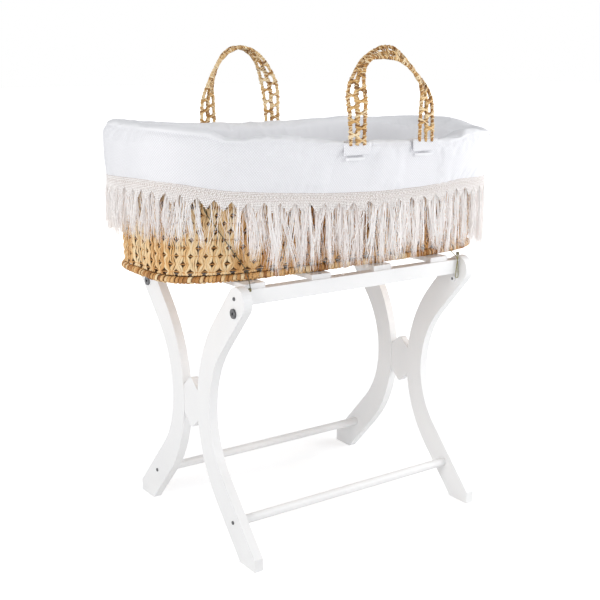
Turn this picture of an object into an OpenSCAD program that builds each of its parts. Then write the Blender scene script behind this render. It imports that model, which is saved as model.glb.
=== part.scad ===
// Moses basket on a white wooden stand.
// X runs along the basket, Y across it, Z up. Millimetres.
// The origin is the middle of the footprint, on the floor.

/* [Stand] */
// Overall length over the end frames
stand_length = 547; // [480:1:640]
// Thickness of the leg boards
leg_thick = 18; // [15:1:24]
// Height of the top face of the rails
rail_top = 520; // [480:1:600]
// Height of the middle of the legs' waist
waist_z = 265; // [255:1:275]
// Half of the gap between the two legs at the waist
waist_gap = 27; // [22:1:34]
// Width of a leg at its waist
waist_width = 46; // [40:1:52]
// Radius of the outer curve of a leg above the waist
upper_radius = 200; // [180:1:220]
// Radius of the outer curve of a leg below the waist
lower_radius = 178; // [165:1:200]
// Slope of the lower part of a leg, from vertical
lower_slope = 42.5; // [40:0.5:44]
// Extra radius of a leg's inner curve
inner_extra = 80; // [60:1:100]
// Radius of the rounded top of a leg
leg_top_radius = 28; // [26:0.5:30]
// Distance of the centre of a leg's rounded top behind the outer face of its rail
leg_top_inset = 6; // [2:1:10]
// Distance of the centre of a leg's rounded top below the top of the rails
leg_top_drop = 21; // [18:1:28]
// Distance of the cut front of the foot from the middle plane
toe_y = 230; // [226:1:236]
// Height of the waist block
block_height = 102; // [90:1:116]
// Height of the straight sides of the waist block
block_side = 58; // [50:1:66]
// Step of the waist block behind the leg faces
block_step = 1.5; // [0.5:0.5:4]
// Radius of the rounded tips of the waist block
block_tip = 9; // [6:1:12]

/* [Rails and slats] */
// Width of a rail
rail_width = 22; // [18:1:26]
// Height of a rail
rail_height = 28; // [24:1:34]
// Distance of the outer face of a rail from the middle plane
rail_y = 182; // [178:1:188]
// Diameter of the round stretchers
stretcher_d = 18; // [14:1:24]
// Distance of the stretchers from the middle plane
stretcher_y = 155; // [150:1:160]
// Height of the stretchers
stretcher_z = 71; // [66:1:80]
// Width of a cross slat
slat_width = 44; // [36:1:70]
// Thickness of a cross slat
slat_thick = 9.3; // [8:0.1:14]
// Distance of the middle of an end slat from the end frame
slat_inset = 36.5; // [36:0.5:60]
// Shift of the slats towards the head end
slat_shift = 14; // [0:1:14]
// Step of the slat ends behind the outer faces of the rails
slat_step = 6; // [2:1:12]

/* [Fasteners] */
// Distance of the frame bolts behind the outer faces of the rails
bolt_inset = 13; // [10:1:18]
// Distance of the frame bolts below the top of the rails
bolt_drop = 42; // [40:1:46]
// Diameter of the shank of a frame bolt
bolt_d = 6; // [5:0.5:8]
// Diameter of the head of a frame bolt
bolt_head_d = 18; // [15:0.5:20]
// Thickness of the head of a frame bolt
bolt_head_h = 3; // [2:0.5:4]
// Key size of the hexagon socket in a bolt head
socket_size = 5; // [4:0.5:6]
// Thickness of the round nut on a frame bolt
nut_h = 6; // [4:0.5:8]
// Diameter of the round nut on a frame bolt
nut_d = 12; // [10:0.5:16]
// Diameter of a wood screw
screw_d = 4; // [3:0.5:5]
// Diameter of the head of a wood screw
screw_head_d = 7; // [6:0.5:9]
// Thickness of the head of a long wood screw
screw_head_h = 1.6; // [1:0.1:2.5]
// Length of a long wood screw
screw_length = 49; // [40:1:60]
// Distance of the long rail screws below the top of the rails
rail_screw_drop = 15; // [12:1:18]
// Length of a slat screw
slat_screw_length = 18; // [14:0.5:20]
// Thickness of the head of a slat screw
slat_head_h = 2.6; // [2:0.1:3]
// Step of a slat screw's head below the top of the slat
slat_head_step = 0.4; // [0:0.1:1]
// Diameter of the dowels in the waist blocks
dowel_d = 8; // [6:1:10]
// Length of the dowels
dowel_length = 84; // [76:1:90]
// Distance of the dowels from the ends of the block's straight sides
dowel_inset = 11; // [8:1:14]

/* [Basket] */
// Half length of the basket at its bottom roll
base_half_length = 368; // [340:1:400]
// Half width of the basket at its bottom roll
base_half_width = 153; // [140:1:170]
// Flare of each end, from the bottom roll to the rim roll
end_flare = 6; // [0:1:20]
// Flare of each side, from the bottom roll to the rim roll
side_flare = 45; // [30:1:60]
// Height of the rim roll over the bottom roll
basket_height = 230; // [200:1:270]
// Rise of the head end over the foot end
head_rise = 30; // [0:1:40]
// Dip of the long sides between the ends
side_dip = 10; // [0:1:16]
// Radius of the bottom roll
base_roll_r = 9; // [7:0.5:11]
// Radius of the rim roll
rim_roll_r = 9; // [7:0.5:11]
// Thickness of the woven wall
wall = 7; // [5:0.5:10]
// Thickness of the woven bottom
bottom_thick = 7; // [5:0.5:10]
// Squareness of the outline at the bottom, 2 for an ellipse
base_square = 4; // [3:0.1:5]
// Squareness of the outline at the rim, 2 for an ellipse
rim_square = 3.2; // [2.8:0.1:4]

/* [Fabric] */
// Thickness of the padding over the rim
pad = 13; // [9:0.5:16]
// Thickness of the hanging cover
cover_thick = 8; // [4:0.5:10]
// Drop of the outer hem below the rim roll
hem_drop = 76; // [60:1:95]
// Drop of the inner hem below the rim roll
inner_drop = 70; // [50:1:90]
// Thickness of the padded lining
lining = 10; // [5:0.5:14]
// Height of the braid trim
trim_height = 35; // [25:1:45]
// Overlap of the trim on the hem
trim_lap = 5; // [3:0.5:10]
// Thickness of the trim
trim_thick = 2; // [1.5:0.5:3]
// Length of the feather fringe
fringe_length = 140; // [100:1:145]
// Thickness of the feather fringe
fringe_thick = 4; // [3:0.5:5]
// Thickness of the mattress
mattress_thick = 38; // [25:1:60]
// Clearance between the mattress and the lining
mattress_gap = 3; // [2:0.5:8]

/* [Handles] */
// Position of the middle of the front handle along the basket
handle_front_x = 35; // [-60:1:60]
// Position of the middle of the rear handle along the basket
handle_rear_x = -13; // [-60:1:60]
// Spacing of the two legs of a handle
handle_spread = 162; // [140:1:200]
// Height of a handle over its hinge line
handle_height = 192; // [170:1:215]
// Width of the braided band
band_width = 38; // [30:1:46]
// Radius of each cord in the band
cord_r = 3.8; // [3:0.1:5]
// Radius of the lacing between the cords
lace_r = 1.8; // [1.2:0.1:2.4]
// Rise of a handle's arch over a half circle
arch_extra = 6; // [0:1:20]
// Turn of the front band at its top
front_twist = 60; // [45:1:90]
// Turn of the rear band at its top
rear_twist = 90; // [45:1:90]
// Gap between a handle and the padded rim
lean_gap = 3; // [2:0.5:6]
// Thickness of the woven tabs that carry the handles
tab_thick = 5; // [3:0.5:7]
// Step of the tabs' ends inside the hinge line, which lets a handle fold down
tab_step = 1.3; // [1:0.1:2]
// Number of lacing rows along a handle
lacing_rows = 22; // [12:1:30]

/* [Clearances] */
// Gap between pieces that only rest on each other
clear = 0.3; // [0.2:0.05:0.6]

/* [Hidden] */
$fn = 48;

around = 48;           // points round the basket
cord_sides = 8;        // sides of a cord
handle_steps = 38;     // rings along a handle
tie_r = 0.9;           // radius of a tie cord

leg_x = stand_length / 2 - leg_thick;       // inner faces of the end frames
leg_top_y = rail_y - leg_top_inset;
leg_top_z = rail_top - leg_top_drop;
bolt_y = rail_y - bolt_inset;
bolt_z = rail_top - bolt_drop;
slat_top = rail_top + slat_thick;
slat_end = rail_y - slat_step;
rail_mid_y = rail_y - rail_width / 2;
rail_screw_z = rail_top - rail_screw_drop;
rim_half_length = base_half_length + end_flare;
rim_half_width = base_half_width + side_flare;
// Columns where the four panels of the wall and the cover meet, anticlockwise from the foot end
seams = [[-4, 3], [3, 20], [20, 27], [27, 44]];
base_z = slat_top + clear + base_roll_r;    // middle of the bottom roll
rim_z = base_z + basket_height;             // middle of the rim roll
hem_z = rim_z - hem_drop;
inner_z = rim_z - inner_drop;
cover_r = rim_roll_r + pad;                 // outer radius of the padded rim
trim_z = hem_z + trim_lap;                  // top edge of the trim
tab_z = rim_z - rim_roll_r - clear;         // top of the tabs, under the rim roll
hinge_z = tab_z + clear + cord_r;
// The hinge line runs outside the cover, far enough for a handle to lean in a little
hinge_y = rim_half_width + cover_r + cord_r + lean_gap;
arch_rise = handle_spread / 2 + arch_extra;
leg_rise = handle_height - arch_rise - cord_r;
leg_foot = cord_r + 0.1;                    // where the cords start, on top of the binding

wood = [0.96, 0.96, 0.97];
steel = [0.25, 0.25, 0.27];
leaf = [0.80, 0.62, 0.38];
cotton = [0.93, 0.93, 0.96];
cream = [0.95, 0.91, 0.85];
olive = [0.50, 0.46, 0.24];

// ---------- curves ----------

// Points on an arc about c, from angle a0 to a1
function arc(c, r, a0, a1, n = 8) =
    [for (i = [0:n]) let (a = a0 + (a1 - a0) * i / n) c + r * [cos(a), sin(a)]];

// Slope of the straight line that touches the arc about c and the leg's rounded top
function touching_slope(c, reach) =
    let (d = [-leg_top_y, leg_top_z] - c)
    atan2(d[1], d[0]) - acos(reach / norm(d));

// Edge of a leg, from the foot: a straight line, two arcs that meet at the waist, and a straight line onto the rounded top
function leg_edge(waist, r_up, r_low, side) =
    let (
        up = [-waist - r_up, waist_z],
        low = [-waist - r_low, waist_z],
        low_end = low + r_low * [cos(lower_slope), -sin(lower_slope)],
        slope = touching_slope(up, r_up + side * leg_top_radius)
    )
    concat(
        [[low_end[0] - low_end[1] * tan(lower_slope), 0]],
        arc(low, r_low, -lower_slope, 0),
        without_first(arc(up, r_up, 0, slope))
    );

function outer_edge() = leg_edge(waist_gap + waist_width, upper_radius, lower_radius, 1);
function inner_edge() = leg_edge(waist_gap, upper_radius + inner_extra, lower_radius + inner_extra, -1);
function outer_slope() = touching_slope([-waist_gap - waist_width - upper_radius, waist_z], upper_radius + leg_top_radius);
function inner_slope() = touching_slope([-waist_gap - upper_radius - inner_extra, waist_z], upper_radius + inner_extra - leg_top_radius);

function reversed(list) = [for (i = [len(list) - 1:-1:0]) list[i]];
function without_first(list) = [for (i = [1:len(list) - 1]) list[i]];

// Signed power, for the outline of the basket
function signed_power(v, p) = sign(v) * pow(abs(v), p);

// Lift of the rim at a share x of the half length
function lift(x) = -head_rise / 2 * x - side_dip * (1 - x * x);

// One turn round the basket on its flared wall, from [height, distance outside the wall's middle, share of the rim's lift]
// and, where a piece hangs straight down, the height that it hangs from.
// Every column of points runs straight from the bottom roll up to the rim roll, so pieces at different distances keep clear of each other.
function ring(s) =
    [for (i = [0:around - 1]) let (
        a = 360 * (i + 0.5) / around,
        l = lift(signed_power(cos(a), 2 / rim_square)),
        f = ((len(s) > 3 ? s[3] : s[0]) + s[2] * l - base_z) / (basket_height + l),
        low = outline(a, base_half_length, base_half_width, base_square),
        high = outline(a, rim_half_length, rim_half_width, rim_square),
        p = low + (high - low) * f + s[1] * outline(a, 1, 1, rim_square)
    ) [p[0], p[1], s[0] + s[2] * l]];

function outline(a, l, w, square) =
    [l * signed_power(cos(a), 2 / square), w * signed_power(sin(a), 2 / square)];

// Section points level with the bottom roll, level with the rim roll, and at a share of the way between them
function by_base(z, o) = [z, o, 0];
function by_rim(z, o) = [z, o, 1];
function between(share, o) = [base_z + basket_height * share, o, share];

// A section point that hangs straight down from another one
function below(s, drop) = [s[0] - drop, s[1], s[2], s[0]];

// Section points on an arc of radius r round the roll at height z
function roll_arc(z, share, r, a0, a1, n) =
    [for (i = [0:n]) let (a = a0 + (a1 - a0) * i / n)
        [z + r * sin(a), r * cos(a), share]];

// Distance from the middle plane of the wall's side at a place x, at a distance o outside it and a drop below the rim roll
function side_y(x, o, drop) =
    let (back = drop / basket_height, l = rim_half_length + o - end_flare * back)
    (rim_half_width + o - side_flare * back) * pow(1 - pow(abs(x) / l, rim_square), 1 / rim_square);

// ---------- solids ----------

// The two triangles of a four-cornered face, which may be slightly twisted
function twisted(a, b, c, d) = [[a, b, c], [a, c, d]];

// A closed band round the basket; its section runs anticlockwise, seen with the outside on the right
module band(sections) {
    n = len(sections);
    points = [for (s = sections) each ring(s)];
    faces = [for (j = [0:n - 1], i = [0:around - 1]) let (
        k = (j + 1) % n, m = (i + 1) % around
    ) each twisted(j * around + i, k * around + i, k * around + m, j * around + m)];
    polyhedron(points, faces, convexity = 6);
}

// Triangles across a section of n points that goes up one side and down the other
function strip(n) = [for (s = [0:n - 3]) let (i = ceil(s / 2), j = n - 1 - floor(s / 2))
    s % 2 == 0 ? [i, i + 1, j] : [i, j - 1, j]];

// The part of a band from column i0 to column i1, with its ends closed
module band_part(sections, i0, i1) {
    n = len(sections);
    m = i1 - i0 + 1;
    rings = [for (s = sections) ring(s)];
    points = [for (r = rings, i = [i0:i1]) r[(i + around) % around]];
    sides = [for (j = [0:n - 1], i = [0:m - 2]) let (k = (j + 1) % n)
        each twisted(j * m + i, k * m + i, k * m + i + 1, j * m + i + 1)];
    start = [for (t = strip(n)) [t[2] * m, t[1] * m, t[0] * m]];
    end = [for (t = strip(n)) [for (j = t) j * m + m - 1]];
    polyhedron(points, concat(start, sides, end), convexity = 6);
}

// A closed pad with flat ends; its section runs upward
module padded_plate(sections) {
    n = len(sections);
    points = [for (s = sections) each ring(s)];
    sides = [for (j = [0:n - 2], i = [0:around - 1]) let (m = (i + 1) % around)
        each twisted(j * around + i, (j + 1) * around + i, (j + 1) * around + m, j * around + m)];
    low = [[for (i = [0:around - 1]) i]];
    high = [[for (i = [around - 1:-1:0]) (n - 1) * around + i]];
    polyhedron(points, concat(low, sides, high), convexity = 4);
}

function unit(v) = v / norm(v);

// A ring of points about p, square to direction d
function hoop(p, d, r, side) =
    let (u = unit(cross(d, side)), v = cross(u, d))
    [for (i = [0:cord_sides - 1]) let (a = 360 * i / cord_sides) p + r * (cos(a) * u + sin(a) * v)];

// A tube along a path; side is a direction that the path never takes
module tube(path, r, side = [0, 1, 0.13]) {
    n = len(path);
    points = [for (i = [0:n - 1]) let (
        d = unit(path[min(i + 1, n - 1)] - path[max(i - 1, 0)])
    ) each hoop(path[i], d, r, side)];
    walls = [for (j = [0:n - 2], i = [0:cord_sides - 1]) let (m = (i + 1) % cord_sides)
        each twisted(j * cord_sides + i, (j + 1) * cord_sides + i, (j + 1) * cord_sides + m, j * cord_sides + m)];
    start = [[for (i = [0:cord_sides - 1]) i]];
    end = [[for (i = [cord_sides - 1:-1:0]) (n - 1) * cord_sides + i]];
    polyhedron(points, concat(start, walls, end), convexity = 6);
}

// A round stick from a to b
module stick(a, b, r) {
    d = b - a;
    translate(a)
        rotate([0, acos(d[2] / norm(d)), atan2(d[1], d[0])])
            cylinder(h = norm(d), r = r, $fn = 8);
}

// A cylinder along X from x0 to x1
module rod_x(x0, x1, d, y, z) {
    translate([min(x0, x1), y, z])
        rotate([0, 90, 0])
            cylinder(h = abs(x1 - x0), d = d);
}

// A cylinder along Y, centred on the middle plane
module rod_y(length, d, x, z) {
    translate([x, length / 2, z])
        rotate([90, 0, 0])
            cylinder(h = length, d = d);
}

// A cylinder along Z, from z0 to z1
module rod_z(z0, z1, d, x, y) {
    translate([x, y, z0])
        cylinder(h = z1 - z0, d = d);
}

// Turns a drawing in Y and Z into a board of thickness t, whose first face is at x
module board(x, t) {
    translate([x, 0, 0])
        rotate([90, 0, 90])
            linear_extrude(t)
                children();
}

// ---------- stand ----------

// The outer edge, the rounded top, the inner edge and the flat foot
module leg_outline() {
    outer = outer_edge();
    top = arc([-leg_top_y, leg_top_z], leg_top_radius, 180 + outer_slope(), inner_slope(), 14);
    toe_z = (toe_y + outer[1][0]) / -tan(lower_slope) + outer[1][1];
    toe = [[-toe_y, 0], [-toe_y, toe_z]];
    polygon(concat(toe, without_first(outer), top, reversed(inner_edge())));
}

dowel_offset = block_side / 2 - dowel_inset;

// Bores of a leg of the end frame on side sx
module leg_bores(sx) {
    face = sx * stand_length / 2;
    inside = sx * (leg_x - 1);
    rod_x(inside, face + sx, bolt_d + 2 * clear, -bolt_y, bolt_z);
    rod_x(inside, face + sx, screw_d + 2 * clear, -rail_mid_y, rail_screw_z);
    rod_x(inside, face + sx, screw_d + 2 * clear, -stretcher_y, stretcher_z);
    for (s = [-1, 1])
        rod_y(dowel_length + 1, dowel_d + 0.2, sx * (leg_x + leg_thick / 2), waist_z + s * dowel_offset);
}

// A leg: sx is the end frame's side along X, sy the side across the stand
module leg(sx, sy) {
    color(wood)
        mirror([0, sy > 0 ? 1 : 0, 0])
            difference() {
                board(sx > 0 ? leg_x : -leg_x - leg_thick, leg_thick)
                    leg_outline();
                leg_bores(sx);
            }
}

module leg_front_left() { leg(-1, -1); }
module leg_rear_left() { leg(-1, 1); }
module leg_front_right() { leg(1, -1); }
module leg_rear_right() { leg(1, 1); }

module block_outline() {
    half = block_side / 2;
    front = [for (p = inner_edge()) if (abs(p[1] - waist_z) < half) p];
    corner_low = [front[0][0], waist_z - half];
    corner_high = [front[len(front) - 1][0], waist_z + half];
    side = concat([corner_low], front, [corner_high]);
    rise = block_height / 2 - half;
    slope = atan2(rise, waist_gap + 2);
    tip = arc([0, waist_z + half + rise - block_tip * 1.05], block_tip, 90 + slope * 0.9, 90 - slope * 0.9);
    foot = arc([0, waist_z - half - rise + block_tip * 1.05], block_tip, -90 + slope * 0.9, -90 - slope * 0.9);
    polygon(concat(
        side,
        tip,
        [for (p = reversed(side)) [-p[0], p[1]]],
        foot
    ));
}

module waist_block(sx) {
    thick = leg_thick - 2 * block_step;
    color(wood)
        difference() {
            board(sx * (leg_x + leg_thick / 2) - thick / 2, thick)
                block_outline();
            for (s = [-1, 1])
                rod_y(dowel_length + 1, dowel_d + 0.2, sx * (leg_x + leg_thick / 2), waist_z + s * dowel_offset);
        }
}

module waist_block_left() { waist_block(-1); }
module waist_block_right() { waist_block(1); }

module waist_dowels() {
    color(wood)
        for (sx = [-1, 1], s = [-1, 1])
            rod_y(dowel_length, dowel_d, sx * (leg_x + leg_thick / 2), waist_z + s * dowel_offset);
}

module rail(sy) {
    color(wood)
        difference() {
            translate([-leg_x, sy > 0 ? rail_y - rail_width : -rail_y, rail_top - rail_height])
                cube([2 * leg_x, rail_width, rail_height]);
            for (sx = [-1, 1])
                rod_x(sx * (leg_x + 1), sx * (stand_length / 2 - screw_length - 1),
                    screw_d + 0.2, sy * rail_mid_y, rail_screw_z);
            for (x = slat_places)
                rod_z(slat_screw_end - 1, rail_top + 1, screw_d + 0.2, x, sy * rail_mid_y);
        }
}

module rail_front() { rail(-1); }
module rail_rear() { rail(1); }

module stretcher(sy) {
    color(wood)
        difference() {
            rod_x(-leg_x, leg_x, stretcher_d, sy * stretcher_y, stretcher_z);
            for (sx = [-1, 1])
                rod_x(sx * (leg_x + 1), sx * (stand_length / 2 - screw_length - 1),
                    screw_d + 0.2, sy * stretcher_y, stretcher_z);
        }
}

module stretcher_front() { stretcher(-1); }
module stretcher_rear() { stretcher(1); }

slat_places = [for (i = [-1, -1 / 3, 1 / 3, 1]) i * (leg_x - slat_inset) - slat_shift];
slat_head_z = slat_top - slat_head_step;
slat_screw_end = slat_head_z - slat_screw_length;

module slat(i) {
    color(wood)
        difference() {
            translate([slat_places[i] - slat_width / 2, -slat_end, rail_top])
                cube([slat_width, 2 * slat_end, slat_thick]);
            for (sy = [-1, 1]) {
                rod_z(rail_top - 1, slat_top + 1, screw_d + 0.2, slat_places[i], sy * rail_mid_y);
                translate([slat_places[i], sy * rail_mid_y, slat_head_z - slat_head_h])
                    cylinder(h = slat_thick, d = screw_head_d + 2 * clear);
            }
        }
}

module slat_1() { slat(0); }
module slat_2() { slat(1); }
module slat_3() { slat(2); }
module slat_4() { slat(3); }

// Bolts through the tops of the legs, with a socket head outside
module frame_bolts() {
    color(steel)
        for (sx = [-1, 1], sy = [-1, 1]) {
            face = stand_length / 2;
            difference() {
                union() {
                    rod_x(sx * face, sx * (leg_x - nut_h), bolt_d, sy * bolt_y, bolt_z);
                    rod_x(sx * face, sx * (face + bolt_head_h), bolt_head_d, sy * bolt_y, bolt_z);
                }
                translate([sx * (face + bolt_head_h / 2 + 0.5), sy * bolt_y, bolt_z])
                    rotate([0, 90, 0])
                        cylinder(h = bolt_head_h, d = socket_size / cos(30), $fn = 6, center = true);
            }
        }
}

module bolt_nuts() {
    color(steel)
        for (sx = [-1, 1], sy = [-1, 1])
            difference() {
                rod_x(sx * leg_x, sx * (leg_x - nut_h), nut_d, sy * bolt_y, bolt_z);
                rod_x(sx * (leg_x + 1), sx * (leg_x - nut_h - 1), bolt_d + 0.1, sy * bolt_y, bolt_z);
            }
}

// A wood screw along X, with its head against the outer face
module end_screw(sx, y, z) {
    face = stand_length / 2;
    rod_x(sx * face, sx * (face - screw_length), screw_d, y, z);
    rod_x(sx * face, sx * (face + screw_head_h), screw_head_d, y, z);
}

module rail_screws() {
    color(steel)
        for (sx = [-1, 1], sy = [-1, 1])
            end_screw(sx, sy * rail_mid_y, rail_screw_z);
}

module stretcher_screws() {
    color(steel)
        for (sx = [-1, 1], sy = [-1, 1])
            end_screw(sx, sy * stretcher_y, stretcher_z);
}

module slat_screws() {
    color(steel)
        for (x = slat_places, sy = [-1, 1]) {
            rod_z(slat_screw_end, slat_head_z - slat_head_h, screw_d, x, sy * rail_mid_y);
            rod_z(slat_head_z - slat_head_h, slat_head_z, screw_head_d, x, sy * rail_mid_y);
        }
}

// ---------- basket ----------

module basket_bottom() {
    edge = by_base(base_z - base_roll_r, -base_roll_r - 0.2);
    color(leaf)
        padded_plate([edge, below(edge, -bottom_thick)]);
}

module basket_base_roll() {
    color(leaf)
        band(roll_arc(base_z, 0, base_roll_r, 0, 315, 7));
}

wall_levels = [0.2, 0.4, 0.6, 0.8];

// One of the four panels of the woven wall
module wall_panel(seam) {
    low = base_z + base_roll_r + 0.1;
    high = rim_z - rim_roll_r - 0.1;
    color(leaf)
        band_part(concat(
            [by_base(low, wall / 2)],
            [for (f = wall_levels) between(f, wall / 2)],
            [by_rim(high, wall / 2), by_rim(high, -wall / 2)],
            [for (f = reversed(wall_levels)) between(f, -wall / 2)],
            [by_base(low, -wall / 2)]
        ), seam[0], seam[1]);
}

module wall_foot() { wall_panel(seams[0]); }
module wall_rear() { wall_panel(seams[1]); }
module wall_head() { wall_panel(seams[2]); }
module wall_front() { wall_panel(seams[3]); }

module basket_rim_roll() {
    color(leaf)
        band(roll_arc(rim_z, 1, rim_roll_r, 0, 315, 7));
}

module basket_lining() {
    low = base_z + bottom_thick;
    out = -wall / 2 - 2 * clear;
    low_out = -base_roll_r - clear;
    step = base_z + base_roll_r + 2 * clear;
    high = inner_z - clear;
    levels = [for (f = wall_levels) if (f < 0.65) f];
    color(cotton)
        band(concat(
            [by_base(low, low_out), by_base(step, out)],
            [for (f = levels) between(f, out)],
            [by_rim(high, out), by_rim(high, out - lining)],
            [for (f = reversed(levels)) between(f, out - lining)],
            [by_base(low, low_out - lining)]
        ));
}

// One of the four panels of the padded cover: hangs outside, rolls over the rim and is tucked in over the lining
module cover_panel(seam) {
    inside_r = rim_roll_r + 0.4;
    color(cotton)
        difference() {
            band_part(concat(
                [by_rim(hem_z, cover_r)],
                roll_arc(rim_z, 1, cover_r, 0, 180, 8),
                [by_rim(inner_z, -cover_r), by_rim(inner_z, -wall / 2 - 2 * clear)],
                [between(0.8, -wall / 2 - 2 * clear)],
                roll_arc(rim_z, 1, inside_r, 180, 0, 6),
                [by_rim(hem_z, cover_r - cover_thick)]
            ), seam[0], seam[1]);
            handle_tabs(0.6);
        }
}

module cover_foot() { cover_panel(seams[0]); }
module cover_rear() { cover_panel(seams[1]); }
module cover_head() { cover_panel(seams[2]); }
module cover_front() { cover_panel(seams[3]); }

module trim_tape() {
    inside = cover_r + 0.2;
    top_in = by_rim(trim_z, inside);
    top_out = by_rim(trim_z, inside + trim_thick);
    color(cream)
        band([below(top_out, trim_height), top_out, top_in, below(top_in, trim_height)]);
}

// The feathers hang straight down from behind the trim
module feather_fringe() {
    out = by_rim(hem_z - clear, cover_r - 0.2);
    in = by_rim(hem_z - clear, cover_r - 0.2 - fringe_thick);
    color(cream)
        band([below(out, fringe_length), out, in, below(in, fringe_length)]);
}

module mattress() {
    low = base_z - base_roll_r + bottom_thick + clear;
    edge = -base_roll_r - clear - lining - mattress_gap;
    soft = 8;
    color(cotton)
        padded_plate([
            by_base(low, edge - soft),
            by_base(low + soft, edge),
            by_base(low + mattress_thick - soft, edge),
            by_base(low + mattress_thick, edge - soft)
        ]);
}

// ---------- handles ----------

// Middle of a handle's band, from 0 at the first leg to 1 at the other
function handle_path(t) =
    let (
        leg_part = 0.26,
        u = (t - leg_part) / (1 - 2 * leg_part)
    )
    t < leg_part ? [-handle_spread / 2, 0, leg_foot + (leg_rise - leg_foot) * t / leg_part] :
    t > 1 - leg_part ? [handle_spread / 2, 0, leg_foot + (leg_rise - leg_foot) * (1 - t) / leg_part] :
    [-handle_spread / 2 * cos(180 * u), 0, leg_rise + arch_rise * sin(180 * u)];

// Direction across the band, which turns from along the basket to across it at the top
function handle_across(t, twist) =
    let (
        e = 0.004,
        d = unit(handle_path(min(t + e, 1)) - handle_path(max(t - e, 0))),
        n = [d[2], 0, -d[0]],
        half_turn = twist * pow(sin(180 * t), 4)
    )
    cos(half_turn) * n + sin(half_turn) * [0, 1, 0];

// A path beside the middle of the band, at an offset o across it
function band_path(o, twist) =
    [for (i = [0:handle_steps]) let (t = i / handle_steps)
        handle_path(t) + o * handle_across(t, twist)];

module place_handle(sy) {
    translate([handle_x(sy), sy * hinge_y, hinge_z + handle_lift(sy)])
        children();
}

function handle_x(sy) = sy < 0 ? handle_front_x : handle_rear_x;

// Lift of the rim at the lower leg of a handle
function handle_lift(sy) = min([for (s = [-1, 1]) lift((handle_x(sy) + s * handle_spread / 2) / rim_half_length)]);

module edge_cords(sy, twist) {
    reach = band_width / 2 - cord_r;
    color(leaf)
        place_handle(sy)
            for (s = [-1, 1])
                tube(band_path(s * reach, twist), cord_r);
}

module middle_cord(sy, twist) {
    color(leaf)
        place_handle(sy)
            tube(band_path(0, twist), cord_r);
}

// Short rungs that tie the three cords together
module lacing(sy, twist) {
    reach = band_width / 2 - cord_r;
    inset = cord_r + 0.4;
    color(leaf)
        place_handle(sy)
            for (i = [1:lacing_rows], s = [-1, 1]) {
                t = (i - (s > 0 ? 0.75 : 0.25)) / lacing_rows;
                w = handle_across(t, twist);
                stick(handle_path(t) + s * inset * w, handle_path(t) + s * (reach - inset) * w, lace_r);
            }
}

// Bindings across the ends of the legs, which turn on the tabs
module bindings(sy) {
    color(leaf)
        place_handle(sy)
            for (s = [-1, 1])
                rod_x(s * handle_spread / 2 - band_width / 2, s * handle_spread / 2 + band_width / 2, 2 * cord_r, 0, 0);
}

module handle_front_bindings() { bindings(-1); }
module handle_rear_bindings() { bindings(1); }
module handle_front_edge_cords() { edge_cords(-1, front_twist); }
module handle_front_middle_cord() { middle_cord(-1, front_twist); }
module handle_front_lacing() { lacing(-1, front_twist); }
module handle_rear_edge_cords() { edge_cords(1, rear_twist); }
module handle_rear_middle_cord() { middle_cord(1, rear_twist); }
module handle_rear_lacing() { lacing(1, rear_twist); }

// Flat woven tabs from the rim out through the cover, one under each leg of a handle
module handle_tabs(extra = 0) {
    for (sy = [-1, 1], s = [-1, 1]) {
        x = handle_x(sy) + s * handle_spread / 2;
        top = tab_z + handle_lift(sy);
        near = side_y(x, wall / 2 + clear, rim_roll_r) - extra;
        far = hinge_y - tab_step + extra;
        translate([x - band_width / 2 - extra, sy > 0 ? near : -far, top - tab_thick - extra])
            cube([band_width + 2 * extra, far - near, tab_thick + 2 * extra]);
    }
}

module handle_roots() {
    color(leaf)
        handle_tabs();
}

// ---------- ties ----------

// Left tie: from the weave under the trim, over the bottom roll and down to the outer edge of the front rail
tie_left = [
    [-318, -148, 684], [-316, -148.5, 662], [-298, -152, 634], [-279, -154.5, 606],
    [-259, -155.5, 578], [-240, -157, 552], [-240.5, -163, 542], [-243.5, -173, 534], [-246.5, -181, 527.5],
    [-248.1, -183.9, 518.5]
];

// Right tie: the same way on the other side, then down the rail, round in a loop and up again
tie_right = [
    [308, -153.5, 684], [300, -155, 662], [286, -156.5, 634], [271, -157, 606],
    [256, -157, 578], [241, -157, 552], [241.5, -163, 542], [243.5, -173, 534], [246.5, -181, 527.5],
    [248.4, -184.3, 519], [250, -184.4, 506], [250.7, -184.6, 494], [250.7, -184.8, 486.5],
    [249.6, -185, 483.9], [247, -185.2, 482.8], [244.4, -185.4, 483.9], [243.3, -185.6, 486.5],
    [243.4, -186, 497], [244.4, -186.4, 509], [245.8, -187, 521], [246.4, -187.2, 532]
];

module tie_cord_left() { color(olive) tube(tie_left, tie_r, [1, 0.1, 0]); }
module tie_cord_right() { color(olive) tube(tie_right, tie_r, [0.1, 1, 0.1]); }

leg_front_left();
leg_rear_left();
leg_front_right();
leg_rear_right();
waist_block_left();
waist_block_right();
waist_dowels();
rail_front();
rail_rear();
stretcher_front();
stretcher_rear();
slat_1();
slat_2();
slat_3();
slat_4();
frame_bolts();
bolt_nuts();
rail_screws();
stretcher_screws();
slat_screws();
basket_bottom();
basket_base_roll();
wall_head();
wall_foot();
wall_front();
wall_rear();
basket_rim_roll();
basket_lining();
cover_head();
cover_foot();
cover_front();
cover_rear();
trim_tape();
feather_fringe();
mattress();
handle_roots();
handle_front_bindings();
handle_rear_bindings();
handle_front_edge_cords();
handle_front_middle_cord();
handle_front_lacing();
handle_rear_edge_cords();
handle_rear_middle_cord();
handle_rear_lacing();
tie_cord_left();
tie_cord_right();
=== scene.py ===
"""Looks of the Moses basket on its white stand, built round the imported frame. Metres."""

import math

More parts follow.
